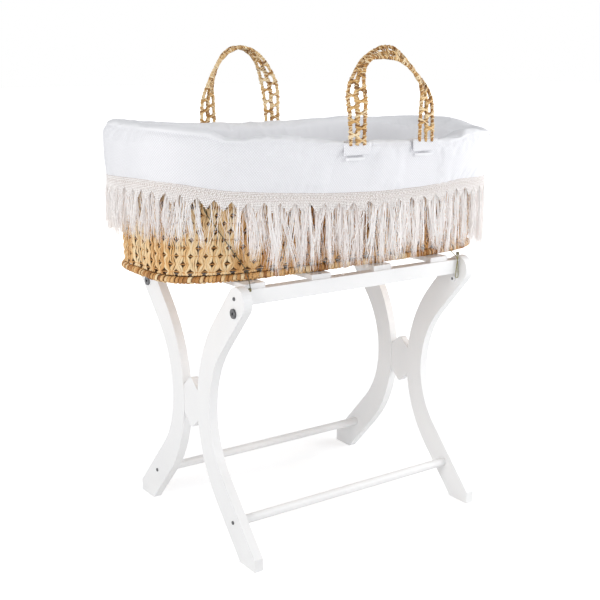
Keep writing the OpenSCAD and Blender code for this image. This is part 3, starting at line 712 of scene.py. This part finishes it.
def cover_profile():
    """Closed section of the cover, as (height above the rim, distance out), the length along it, and how
    many of its points are outside, over the crest and down inside. The rest go back underneath."""
    zo, zi = HEM_Z - RIM_Z, INNER_Z - RIM_Z
    rise = np.concatenate([np.linspace(zo, -0.018, 19), np.linspace(-0.0165, 0, 12)])
    shown = [(z, COVER_R) for z in rise]
    shown += [(COVER_R * math.sin(t), COVER_R * math.cos(t)) for t in np.linspace(0, math.pi, 25)[1:]]
    shown += [(z, -COVER_R) for z in np.linspace(0, zi, 15)[1:]]
    under = [(zi, -0.012), (zi, -0.0046)]
    under += [(z, -0.0046) for z in np.linspace(zi, -0.046, 4)[1:]] + [(-0.012, -0.0094)]
    under += [(0.0096 * math.sin(t), 0.0096 * math.cos(t)) for t in np.linspace(math.pi, 0, 8)]
    under += [(z, 0.0138) for z in np.linspace(-0.02, zo, 5)]
    section = np.array(shown + under)
    return section, lengths(section), len(shown)


def cover_columns():
    """Lengths round the cover of its columns: even, with closer ones at the edges of the pockets."""
    s = np.arange(432) / 432 * ROUND
    away = np.linspace(0, ROUND, 4001)[:-1]
    ring = shape(angle(away), RIM_Z, COVER_R)
    for hx, hs in LEGS:
        middle = away[np.argmin(np.abs(ring[:, 0] - hx) + (np.sign(ring[:, 1]) != hs))]
        for step in (0.0270, 0.0284, 0.0290, 0.0296, 0.0303, 0.0320, 0.0350, 0.0380, 0.0410):
            s = np.append(s, [middle - step, middle + step])
    s = np.sort(np.mod(s, ROUND))
    return s[np.append(True, np.diff(s) > 0.0004)]


def wrinkles(s, along, count, width, lean, size, low, reach):
    """A field of slanting folds over the cloth. Each fold draws its own values from the ranges given."""
    field = 0.0
    for _ in range(count):
        middle = RNG.uniform(0, ROUND)
        w, slant, amp = RNG.uniform(*width), RNG.uniform(-lean, lean), RNG.uniform(*size)
        level, tall = RNG.uniform(*low), RNG.uniform(*reach)
        away = np.mod(s[None] - middle - slant * (along - level) + ROUND / 2, ROUND) - ROUND / 2
        field = field + amp * bell(away, w) * bell(along - level, tall)
    return field


def padded_cover():
    """The cover's object, its points, which of them the cloth simulation holds still, and the
    skin beside each leg of the handles: (x from the leg, heights above the hinge, distance out)."""
    section, length, outer = cover_profile()
    s = cover_columns()
    a = angle(s)
    rows, cols = len(section), len(s)
    z, o = section[:, :1], section[:, 1:]
    along = length[:, None]
    shown = np.arange(rows)[:, None] < outer
    share = np.clip((z - (HEM_Z - RIM_Z)) / (RIM_Z - HEM_Z), 0, 1)  # 0 at the hem, 1 at the rim
    raised = share * crest(a)[None]
    shift = np.where(o > 0, (1 - share) * sag(a)[None] + raised, raised)
    g = shape(a[None], RIM_Z + z + shift, o, 1.0, hang=RIM_Z + z)
    # the foot end leans outwards, and its roll is thicker
    foot = np.clip((g[..., 0] - 0.25) / 0.13, 0, 1) ** 2
    g[..., 0] += foot * share * (-0.008 + 0.023 * np.clip((o + COVER_R) / (2 * COVER_R), 0, 1))
    # fullness: soft waves, and the seam's groove
    ph = RNG.uniform(0, FULL_TURN, 12)
    soft = sum(np.sin(FULL_TURN * s * k / ROUND + ph[i]) / (i + 2) for i, k in enumerate((7, 11, 17, 23, 31)))
    body = np.sin(np.clip(along / SEAM, 0, 1) * math.pi)
    ring = shape(a, RIM_Z, COVER_R)[:, 0]
    ring_side = np.sign(np.sin(a))
    calm = np.ones(cols)  # 0 beside the legs of the handles
    for hx, hs in LEGS:
        calm *= 1 - (ring_side == hs) * bell(ring - hx, 0.046, 6)
    out = 0.0013 * body * (1 + 0.8 * soft[None]) * calm
    out = out - 0.0016 * bell(along - SEAM, 0.0022) * (along < 0.25)
    # the section's own normal at each point
    level = outward(a)[None]
    tz, to = np.gradient(section[:, 0]), np.gradient(section[:, 1])
    size = np.hypot(tz, to)
    up_share, out_share = (-to / size)[:, None], (tz / size)[:, None]

    def pushed(points, amount):
        return points + (amount * out_share)[..., None] * level + (amount * up_share)[..., None] * UP

    g = pushed(g, np.where(shown, out, 0))
    folds = wrinkles(s, along, 46, (0.004, 0.010), 0.35, (0.0008, 0.0026), (0.13, 0.21), (0.02, 0.045))
    folds = folds - wrinkles(s, along, 34, (0.006, 0.014), 0.5, (0.0006, 0.0016), (0.02, 0.09), (0.02, 0.04))
    g = pushed(g, np.where(shown, folds, 0) * np.where(along < SEAM, calm, 1))
    # the cloth swells round the foot of each leg, and the leg stands in a pocket there
    front = shown & (o > 0)
    outside = np.nonzero(front[:, 0])[0]
    skins = []
    for hx, hs in LEGS:
        hinge = HINGE_Z[hs]
        side = (np.sign(g[..., 1]) == hs) * front
        across, up = g[..., 0] - hx, g[..., 2] - hinge
        hump = 0.0080 * bell(across, 0.047, 4) * bell(up - 0.022, 0.0125)
        pinch = bell(np.abs(across) - 0.037 - 0.35 * (up - 0.02), 0.0030) * bell(up - 0.020, 0.010)
        g = g + ((hump - 0.0020 * pinch) * side)[..., None] * level
        near = np.nonzero((np.abs(ring - hx) < 0.045) & (ring_side == hs))[0]
        near = near[np.argsort(ring[near])]
        ups = np.linspace(0.0, 0.030, 31)
        skin = [np.interp(ups + hinge, g[outside, j, 2], np.abs(g[outside, j, 1])) for j in near]
        skins.append((ring[near] - hx, ups, np.array(skin) - HINGE_Y))
        deep = HINGE_Y - 0.0050
        for j in np.nonzero((np.abs(ring - hx) < 0.0293) & (ring_side == hs))[0]:
            up, y = g[outside, j, 2] - hinge, np.abs(g[outside, j, 1])
            last = outside[np.nonzero(up < 0.0006)[0][-1]]  # the row at the pocket's lower edge
            for r, at in ((last, -0.0012), (last + 1, -0.0006)):
                g[r, j, 1] = hs * np.interp(at, up, y)
                g[r, j, 2] = hinge + at
            for r in range(last + 1, outside[-1] + 1):
                lower = deep - 0.165 * max(g[r, j, 2] - hinge, 0)
                g[r, j, 1] = hs * min(abs(g[r, j, 1]), lower)
    faces = grid_faces(rows, cols, close_rows=True, close_cols=True)
    cover = piece("padded_cover", g, faces, PIQUE, "basket", "cover_fabric", flow=cloth_flow(s, along, g))
    cover.data.materials.append(COTTON)
    cloth = np.repeat(length > SEAM, cols).astype(np.int32)  # pique up to the seam, plain beyond it
    cover.data.polygons.foreach_set("material_index", cloth)
    free = shown & (along > 0.004) & (np.abs(along - SEAM) > 0.0025)
    held = ~free | ((calm[None] < 0.5) & (along < 0.0905))
    return cover, g.reshape(-1, 3), held.ravel(), skins


def puff(o, start, held, move):
    """Blow the cloth up a little in a cloth simulation, and keep it within `move` of where it was."""
    o.vertex_groups.new(name="pin").add(np.nonzero(held)[0].tolist(), 1.0, "REPLACE")
    c = o.modifiers.new("cloth", "CLOTH")
    st = c.settings
    st.quality = 6
    st.mass = 0.15
    st.vertex_group_mass = "pin"
    st.tension_stiffness = 18
    st.compression_stiffness = 18
    st.shear_stiffness = 6
    st.bending_stiffness = 0.4
    st.shrink_min = -0.015
    st.use_pressure = True
    st.uniform_pressure_force = 4.0
    st.effector_weights.gravity = 0
    c.collision_settings.use_collision = False
    frames = 20
    c.point_cache.frame_start = 1
    c.point_cache.frame_end = frames
    for f in range(1, frames + 1):
        scene.frame_set(f)
    deps = bpy.context.evaluated_depsgraph_get()
    got = np.empty(len(o.data.vertices) * 3, np.float32)
    o.evaluated_get(deps).data.vertices.foreach_get("co", got)
    o.modifiers.remove(c)
    scene.frame_set(1)
    d = got.reshape(-1, 3).astype(float) - start
    far = np.linalg.norm(d, axis=1, keepdims=True)
    d *= np.minimum(1, move / np.maximum(far, 1e-9))
    o.data.vertices.foreach_set("co", (start + d).astype(np.float32).ravel())
    o.data.update()


def finer(o):
    m = o.modifiers.new("fine", "SUBSURF")
    m.levels = 1
    m.render_levels = 1


cover, cover_points, cover_held, SKINS = padded_cover()
puff(cover, cover_points, cover_held, 0.004)
finer(cover)
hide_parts("cover_head", "cover_foot", "cover_front", "cover_rear")

# ---------- lining ----------


def lining():
    """A closed sheet inside the wall: its outer skin upwards, and its puffed inner skin back down."""
    levels = [0.007, 0.0096, 0.03, 0.055, 0.08, 0.105, 0.13, 0.15, 0.1597]
    cols = 288
    s = np.arange(cols) / cols * ROUND
    a = angle(s)
    ph = RNG.uniform(0, 6.3, 6)
    wave = sum(np.sin(FULL_TURN * s * k / ROUND + ph[i]) / (i + 1.5) for i, k in enumerate((9, 14, 21, 33)))

    def ring(z, inwards):
        """Points round the wall at height z above its bottom, where the lowest ring is level."""
        if z > 0.009:
            return column(a, z / HEIGHT, -0.0044 - inwards)
        return shape(a, BASE_Z + z, -0.0096 - inwards, 0.0, hang=BASE_Z + z)

    rows = [ring(z, 0.0) for z in levels]
    along = list(levels)
    for z in levels[::-1]:
        puffed = 0.0016 * math.sin(math.pi * min(max(z / 0.16, 0), 1))
        rows.append(ring(z, 0.0098 + puffed * (1 + 0.7 * wave)))
        along.append(0.32 - z)
    g = np.array(rows)
    faces = grid_faces(len(g), cols, close_rows=True, close_cols=True)
    flow = cloth_flow(s, np.array(along)[:, None], g)
    o = piece("lining", g, faces, COTTON, "basket", "lining_fabric", flow=flow)
    finer(o)
    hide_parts("basket_lining")


lining()

# ---------- mattress ----------


def mattress():
    lo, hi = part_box("mattress")
    z0, z1 = lo[2], hi[2]
    cols = 256
    soft = 0.010  # radius of the pad's edges
    side = -0.0223  # the pad's side, inwards from the wall's middle
    a = angle(np.arange(cols) / cols * ROUND)
    ph = RNG.uniform(0, 6.3, 8)

    def ring(z, o):
        return shape(a, z, o, 0.0, hang=0.5 * (z0 + z1))

    quarter = np.linspace(0, math.pi / 2, 5)
    body = [ring(z0 + soft * (1 - math.cos(t)), side - soft * (1 - math.sin(t))) for t in quarter]
    body.append(ring(z0 + 0.019, side + 0.0002))
    body += [ring(z1 - soft * (1 - math.sin(t)), side - soft * (1 - math.cos(t))) for t in quarter]
    middle = np.array([0.5 * (lo[0] + hi[0]), 0.5 * (lo[1] + hi[1]), 0.0])

    def cap(edge, z, top):
        """Rings from the edge to the middle. The top swells a little and has soft lumps."""
        out = []
        for f in np.linspace(1, 0.06, 14)[1:]:
            r = edge * f + middle * (1 - f)
            r[:, 2] = z
            if top:
                waves = ((k, p) for k, p in zip((18, 31, 47), ph))
                lump = sum(np.sin(r[:, 0] * k + p) * np.sin(r[:, 1] * k * 1.3 + p) for k, p in waves)
                r[:, 2] += 0.0035 * (1 - f**4) + 0.0009 * lump * min(1, (1 - f) * 4) - 0.002
            out.append(r)
        return out

    g = np.array(cap(body[0], z0, False)[::-1] + body + cap(body[-1], z1, True))
    rows = len(g)
    faces = grid_faces(rows, cols, close_cols=True)
    ends = np.stack([np.arange(cols)[::-1], (rows - 1) * cols + np.arange(cols)])
    flow = np.stack([g[..., 0], g[..., 1] + g[..., 2], 0 * g[..., 0]], -1).reshape(-1, 3)
    o = piece("mattress_pad", g, [faces, ends], TICKING, "mattress", "mattress_fabric", flow=flow)
    finer(o)
    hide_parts("mattress")
    piping = []
    for z in (z1 - 0.0052, z0 + 0.0052):
        p = ring(z, side - 0.0012)
        piping.append(strand(np.concatenate([p, p[:1]]), UP, 0.0018, 0.0018, 6, 0.5))
    v, f, _, w = joined(piping)
    piece("mattress_piping", v, f, TICKING, "mattress", "mattress_fabric", flow=w)


mattress()

# ---------- lace trim ----------


def small_ball():
    """A small rounded knot: points and faces of a cube pushed out to a ball."""
    u = (-1, 0, 1)
    points, faces, seen = [], [], {}
    for axis in range(3):
        for s in (-1, 1):
            for i in (0, 1):
                for j in (0, 1):
                    quad = []
                    for du, dv in ((0, 0), (1, 0), (1, 1), (0, 1)):
                        p = [0, 0, 0]
                        p[axis] = s
                        p[(axis + 1) % 3] = u[i + du]
                        p[(axis + 2) % 3] = u[j + dv]
                        if tuple(p) not in seen:
                            seen[tuple(p)] = len(points)
                            points.append(np.array(p, float) / np.linalg.norm(p))
                        quad.append(seen[tuple(p)])
                    faces.append(quad if s > 0 else quad[::-1])
    return np.array(points), np.array(faces)


TRIANGLES = 68  # in the lace
PITCH = ROUND / TRIANGLES


def trim_point(s, down, out):
    """A point on the trim: s round, down from its top edge and out from its inner face."""
    a = angle(s)
    p = shape(a, TRIM_Z + sag(a), COVER_R + 0.0004 + out, 1.0, hang=TRIM_Z)
    p[..., 2] -= down
    return p


def lace_trim():
    """Rows of small knots for the band, triangles of knots below it, and a thin tape behind them, dark as
    painted shade between the knots.
    """
    ball, quads = small_ball()
    spots, size = [], []
    row = 0.0029
    step = ROUND / 600
    for r in range(6):
        for k in range(600):
            if r != 2:
                spots.append((k * step + (r % 2) * step / 2, 0.0016 + r * row))
                size.append((0.0016, 0.0012))
            elif k % 2 == 0:
                # a row of wider knots with gaps
                spots.append((k * step, 0.0016 + r * row))
                size.append((0.0026, 0.0011))
    depth = 0.0175  # of the band
    for t in range(TRIANGLES):
        for r, n in enumerate((9, 7, 6, 4, 3, 1)):
            for k in range(n):
                spots.append(((t + 0.5) * PITCH + (k - (n - 1) / 2) * 0.0031, depth + 0.0014 + r * row))
                size.append((0.0016, 0.0013))
    spots, size = np.array(spots), np.array(size)
    spots += RNG.normal(0, 0.00018, spots.shape)
    at = trim_point(spots[:, 0], spots[:, 1], 0.0008)
    e = outward(angle(spots[:, 0]))
    level = np.cross(np.broadcast_to(UP, e.shape), e)
    turn = RNG.uniform(-0.6, 0.6, len(spots))[:, None]
    wide = level * np.cos(turn) + UP * np.sin(turn)
    tall = -level * np.sin(turn) + UP * np.cos(turn)
    v = at[:, None] + ball[None, :, 0:1] * size[:, 0:1, None] * wide[:, None]
    v = v + ball[None, :, 1:2] * 0.0008 * e[:, None] + ball[None, :, 2:3] * size[:, 1:2, None] * tall[:, None]
    f = (quads[None] + (np.arange(len(spots)) * len(ball))[:, None, None]).reshape(-1, 4)
    tone = 0.45 + 0.5 * np.repeat(RNG.random(len(spots)), len(ball))
    flow = v - at[:, None] + np.array([0.01, 0, 0]) * RNG.random(len(spots))[:, None, None]
    v, flow = v.reshape(-1, 3), flow.reshape(-1, 3)
    # the tape behind the band and the tongues behind the triangles, at tone 0: painted shade that shows
    # between the knots
    cols = TRIANGLES * 16
    s = np.arange(cols) / cols * ROUND
    low = depth + 0.0155 * (1 - np.abs(np.mod(s / PITCH, 1.0) - 0.5) * 2)
    downs = [np.full(cols, down) for down in (0.0006, 0.5 * depth, depth)] + [0.5 * (depth + low), low]
    g = np.array([trim_point(s, d, 0.0002) for d in downs] + [trim_point(s, d, -0.0002) for d in downs[::-1]])
    tape = grid_faces(len(g), cols, start=len(v), close_rows=True, close_cols=True)
    tape_flow = cloth_flow(s, np.array(downs + downs[::-1]), g)
    # painted shadow: a thin cord at tone 0 along the trim's top edge, for the shadow line there
    edge = trim_point(np.append(s, s[0]), 0.0, 0.0002)
    strand_piece("trim_shadow_cord", [strand(edge, UP, 0.0006, 0.0004, 4, 0.0)], LACE, "basket", "trim_braid")
    verts, faces = np.concatenate([v, g.reshape(-1, 3)]), np.concatenate([f, tape])
    # painted shade: the tape's points take tone 0, the darkest colour of the lace
    tone = np.concatenate([tone, np.zeros(len(tape_flow))])
    flow = np.concatenate([flow, tape_flow])
    o = piece("lace_trim", verts, faces, LACE, "basket", "trim_braid", tone=tone, flow=flow)
    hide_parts("trim_tape")


lace_trim()

# ---------- feather fringe ----------


def feathers():
    """Clumps of long narrow feather strips that hang from behind the lace, with loose single hairs."""
    u = np.linspace(0, 1, 15)
    fine = 0.45 + 0.55 * np.sin(np.clip(u * 1.1, 0, 1) * math.pi) ** 0.6
    fine = fine * np.clip((1.02 - u) * 4, 0.10, 1)  # a strip's width along it
    paths, sides, widths, tones = [], [], [], []
    eye = np.array(camera.location)
    turned = np.array(camera.rotation_euler.to_matrix())

    def seen(p):
        """Directions from the photographer's eye, to part the fringe in front of the left tie."""
        d = (p - eye) @ turned
        return d[:, :2] / -d[:, 2:]

    tie_line = seen(smooth_path(np.array(TIE_LEFT[:6]) / 1000, 0.002))

    def strip(s, down, out, a, w, tone, turn):
        p = trim_point(s, down, np.clip(out, -0.010, 0.009))
        if -0.40 < p[0, 0] < -0.18 and p[0, 1] < 0:
            near = np.linalg.norm(seen(p)[:, None] - tie_line[None], axis=2).min()
            if near < 0.0024 and RNG.random() < 0.9:
                return
        e = outward(np.array([a]))[0]
        level = np.cross(UP, e)
        spin = turn + RNG.normal(0, 0.7) * u
        paths.append(p)
        sides.append(level[None] * np.cos(spin)[:, None] + e[None] * np.sin(spin)[:, None])
        widths.append(w * fine)
        tones.append(tone)

    def past(a, start, reach):
        """How far the cover at angle a is past x = start, from 0 there to 1 at reach beyond it."""
        return np.clip((shape(a, RIM_Z, COVER_R)[0] - start) / reach, 0, 1)

    clumps = TRIANGLES * 3
    for t in range(clumps):
        c = (t + 0.5) * ROUND / clumps + RNG.normal(0, 0.0025)
        a = angle(c)
        right = past(a, -0.1, 0.4)
        long = RNG.triangular(0.092, 0.130, 0.143) * (1 - 0.30 * past(a, -0.20, -0.12))
        lean, curl, wave = RNG.normal(0, 0.008), RNG.normal(0, 0.008), RNG.normal(0, 0.004)
        ph = RNG.uniform(0, 6.3)
        half = RNG.uniform(0.0035, 0.0065)
        point = RNG.uniform(0.4, 1.7)
        out0, tone0 = RNG.uniform(-0.0055, -0.0005), RNG.beta(2.6, 1.5)
        for k in range(int(RNG.integers(15, 24) + 3 * right)):
            q = RNG.uniform(-1, 1)
            s = c + lean * u + curl * u**2 + wave * np.sin(u * 4 + ph) + q * half * (1 - (1 - point) * u)
            s = s + RNG.normal(0, 0.0030) * u**2
            s = s + RNG.normal(0, 0.0009) * np.sin(u * RNG.uniform(5, 14) + ph)
            own = long * (1 - 0.22 * q * q * RNG.random())
            out = out0 + RNG.normal(0, 0.0010) + RNG.normal(0, 0.0022) * u
            w = RNG.uniform(0.00030, 0.00085)
            # painted light: strips towards the foot end get paler tones, to lift them where they lie in shade
            tone = np.clip(tone0 + RNG.normal(0, 0.16) + 0.1 * right, 0, 1)
            strip(s, 0.0135 + own * u, out, a, w, tone, RNG.normal(0, 0.5))
    for _ in range(1300):
        c = RNG.uniform(0, ROUND)
        a = angle(c)
        long = RNG.triangular(0.05, 0.115, 0.142) * (1 - 0.22 * past(a, -0.20, -0.12))
        s = c + RNG.normal(0, 0.016) * u + RNG.normal(0, 0.013) * u**2
        s = s + RNG.normal(0, 0.003) * np.sin(u * 5 + RNG.uniform(0, 6))
        out = 0.0005 + RNG.normal(0, 0.002) + RNG.normal(0, 0.004) * u
        w = RNG.uniform(0.00022, 0.00045)
        strip(s, 0.016 + long * u, out, a, w, RNG.uniform(0.35, 1), RNG.normal(0, 0.8))
    strips = strands(np.array(paths), np.array(sides), np.array(widths), 0.00015, 4, tone=np.array(tones))
    o = strand_piece("feathers", [strips], FEATHER, "basket", "feathers")
    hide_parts("feather_fringe")


feathers()

# ---------- handles ----------

# the middle line and turn of each handle, from its left foot to its right foot:
# x and z from the hinge (mm), turn (degrees)
FRONT_LINE = [
    (-81, 18, 0), (-81, 45, 2), (-82, 82, 16), (-85, 113, 58), (-79, 145, 96), (-64, 166, 98), (-40, 175, 74),
    (-16, 179, 52), (6, 176, 48), (34, 158, 58), (56, 136, 56), (71, 115, 34), (79, 92, 12), (80.5, 62, 3),
    (80.5, 30, 0), (80, 18, 0),
]
REAR_LINE = [
    (-80, 18, 0), (-80, 40, -2), (-79, 80, -14), (-72, 115, -44), (-58, 148, -60), (-36, 176, -78),
    (-6, 190, -90), (24, 184, -90), (48, 165, -84), (64, 138, -66), (76, 105, -34), (80, 70, -8),
    (81, 35, 0), (81, 18, 0),
]


def leaf_handle(body, hinge, points):
    """Three laid cords side by side, laced together, with a half turn in the arch."""
    # the turn goes through smooth_path as a third coordinate
    route = smooth_path(np.array(points, float) / 1000, 0.0022)
    mid = np.stack([route[:, 0], 0 * route[:, 0], route[:, 1]], 1)
    turn = np.radians(route[:, 2] * 1000)[:, None]
    s = lengths(mid)
    total = s[-1]
    d = unit(np.gradient(mid, axis=0))
    normal = np.stack([-d[:, 2], 0 * s, d[:, 0]], -1)
    across = np.cos(turn) * normal + np.sin(turn) * np.array([0, 1.0, 0])
    thick = np.cross(d, across)

    def at(place, w, h):
        """Points at lengths `place` along the handle, w across and h through it, and the way along it."""
        base, ac, th, dd = (
            np.stack([np.interp(place, s, v[:, i]) for i in range(3)], 1) for v in (mid, across, thick, d)
        )
        return hinge + base + w[:, None] * ac + h[:, None] * th, dd

    parts = {"edge_cords": [], "middle_cord": [], "lacing": []}
    for k, off in enumerate((-0.0152, 0.0, 0.0152)):
        key = "middle_cord" if k == 1 else "edge_cords"
        lay = -0.0115 if k == 1 else 0.0115
        path = hinge + mid + across * off
        parts[key].append(twisted(path, across, 0.0019, 0.0016, lay, 0.1 + 0.7 * RNG.random(3), phase=k))
        step = 0.010
        for j in range(int(total / step)):
            # a thin leaf wound round the cord here and there, at the palest tone: painted highlight on the
            # cords
            q = np.linspace(0, 1, 14)
            place = (j + 0.5 * RNG.random() + 0.5 * q) * step
            p, dd = at(place, off + 0.0036 * np.cos(q * 6.6 + j), 0.0036 * np.sin(q * 6.6 + j))
            parts[key].append(strand(p, dd, RNG.uniform(0.0006, 0.0011), 0.0005, 4, 1.0))
    laps = int((total - 0.03) / 0.022)
    turns = np.linspace(0, 1, 24) * 2 * math.pi
    for side in (-1, 1):
        for j in range(laps):
            start = 0.007 + (j + (0.5 if side > 0 else 0)) * (total - 0.020) / laps + RNG.normal(0, 0.0008)
            for lean, level in ((1, 1), (-1, -1), (0.3, 1)):
                # round the edge cord, across the gap and round the middle cord
                w = side * (0.0076 - 0.0122 * np.cos(turns))
                h = level * 0.0041 * np.sin(turns)
                p, dd = at(start + lean * 0.0062 * np.cos(turns), w, h)
                parts["lacing"].append(strand(p, dd, 0.0016, 0.0006, 6, RNG.random()))
    for key, items in parts.items():
        o = strand_piece(f"{body}_{key}_leaf", items, HANDLE_LEAF, body, "handle_leaf")
        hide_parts(f"{body}_{key}")


def cuffs(body, hs):
    """Cuffs of the cover's cloth round the feet of one handle's legs, flush with the cover round them."""
    verts, faces, flows = [], [], []
    count = 0
    wide = np.array([-1, -0.975, -0.9, -0.75, -0.5, -0.25, 0, 0.25, 0.5, 0.75, 0.9, 0.975, 1]) * CUFF_HALF
    high = np.array([CUFF_LOW, 0.0005, 0.004, 0.0085, 0.012, 0.015, 0.018, 0.020, 0.0216, CUFF_TOP])
    for (hx, side), (xs, ups, skin) in zip(LEGS, SKINS):
        if side != hs:
            continue
        out = np.array([np.interp(wide, xs, [np.interp(h, ups, row) for row in skin]) for h in high])
        out = np.maximum(out, 0.0002)
        out[-1] -= 0.0006
        back = np.full_like(out, -0.0042)
        back[:, [0, -1]] = out[:, [0, -1]] - 0.0022
        lifted = high + 0.0018 * np.exp(-high / 0.003)
        face, lining_side = (
            np.stack(np.broadcast_arrays(hx + wide, hs * (HINGE_Y + o), HINGE_Z[hs] + h[:, None]), -1)
            for o, h in ((out, high), (back, lifted))
        )
        g = np.concatenate([face, lining_side[::-1]])
        rows, cols = g.shape[:2]
        quads = [grid_faces(rows, cols, start=count, close_rows=True)]
        for c in (0, cols - 1):
            # the two ends, between the face and the back
            r = np.arange(rows // 2 - 1)
            end = np.stack([r, r + 1, rows - 2 - r, rows - 1 - r], -1) * cols + c + count
            quads.append(end[:, ::-1] if c else end)
        quads = np.concatenate(quads)
        faces.append(quads if hs < 0 else quads[:, ::-1])
        verts.append(g.reshape(-1, 3))
        flows.append(np.stack([g[..., 0], g[..., 2], 0 * g[..., 0]], -1).reshape(-1, 3))
        count += rows * cols
    verts, flows = np.concatenate(verts), np.concatenate(flows)
    cuff = piece(f"{body}_cuffs", verts, np.concatenate(faces), PIQUE, body, "cover_fabric", flow=flows)
    finer(cuff)
    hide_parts(f"{body}_bindings")


for body, x, side, line in (("handle_front", 0.035, -1, FRONT_LINE), ("handle_rear", -0.013, 1, REAR_LINE)):
    leaf_handle(body, np.array([x, side * HINGE_Y, HINGE_Z[side]]), line)
    cuffs(body, side)

# ---------- floor, backdrop and light ----------


def floor():
    """A white floor that fades into the white backdrop. Only what looks at it sees its own glow."""
    m = Nodes("floor")
    m.finish((0.90, 0.90, 0.90), None, 0.95, Specular_IOR_Level=0.05)
    far = m.add("VectorMath", {0: m.place()}, operation="LENGTH").outputs["Value"]
    fade = {"Value": far, "From Min": 0.9, "From Max": 1.9, "To Min": 0.36, "To Max": 1.0}
    glow = m.add("MapRange", fade, interpolation_type="SMOOTHSTEP").outputs[0]
    ray = m.add("LightPath").outputs
    looks = m.math("MAXIMUM", ray["Is Camera Ray"], ray["Is Glossy Ray"])
    looks = m.math("MAXIMUM", looks, ray["Is Transmission Ray"])
    m.set(m.shader.inputs["Emission Color"], (1, 1, 1, 1))
    m.set(m.shader.inputs["Emission Strength"], m.math("MULTIPLY", looks, glow))
    me = bpy.data.meshes.new("floor")
    w = 30
    me.from_pydata([(-w, -w, 0), (w, -w, 0), (w, w, 0), (-w, w, 0)], [], [(0, 1, 2, 3)])
    me.materials.append(m.material)
    o = bpy.data.objects.new("floor", me)
    scene.collection.objects.link(o)


def backdrop():
    """A world that lights softly and looks plain white."""
    world = bpy.data.worlds.new("world")
    scene.world = world
    world.use_nodes = True
    tree = world.node_tree
    light = next(n for n in tree.nodes if n.type == "BACKGROUND")
    out = next(n for n in tree.nodes if n.type == "OUTPUT_WORLD")
    white = tree.nodes.new("ShaderNodeBackground")
    for node, colour, strength in ((light, (0.95, 0.97, 1.0, 1), 0.53), (white, (1, 1, 1, 1), 1.0)):
        node.inputs[0].default_value = colour
        node.inputs[1].default_value = strength
    ray = tree.nodes.new("ShaderNodeLightPath").outputs
    looks = ray["Is Camera Ray"]
    for kind in ("Is Glossy Ray", "Is Transmission Ray"):
        node = tree.nodes.new("ShaderNodeMath")
        node.operation = "MAXIMUM"
        tree.links.new(looks, node.inputs[0])
        tree.links.new(ray[kind], node.inputs[1])
        looks = node.outputs[0]
    mix = tree.nodes.new("ShaderNodeMixShader")
    for i, value in enumerate((looks, light.outputs[0], white.outputs[0])):
        tree.links.new(value, mix.inputs[i])
    tree.links.new(mix.outputs[0], out.inputs[0])


def lamp(name, at, look, size, watts, colour=(1, 1, 1)):
    """A square lamp at one point, turned to look at another."""
    d = bpy.data.lights.new(name, "AREA")
    d.shape = "SQUARE"
    d.size = size
    d.energy = watts
    d.color = colour
    o = bpy.data.objects.new(name, d)
    scene.collection.objects.link(o)
    o.location = at
    o.rotation_euler = (Vector(look) - Vector(at)).to_track_quat("-Z", "Y").to_euler()


floor()
backdrop()
lamp("key", (-3.0, -1.0, 1.6), (0, 0, 0.55), 1.8, 50, (1.0, 0.99, 0.975))
lamp("front", (1.3, -1.4, 0.95), (0.15, -0.1, 0.65), 0.9, 14)
lamp("right", (3.0, -0.6, 1.4), (0, 0, 0.6), 1.8, 34)
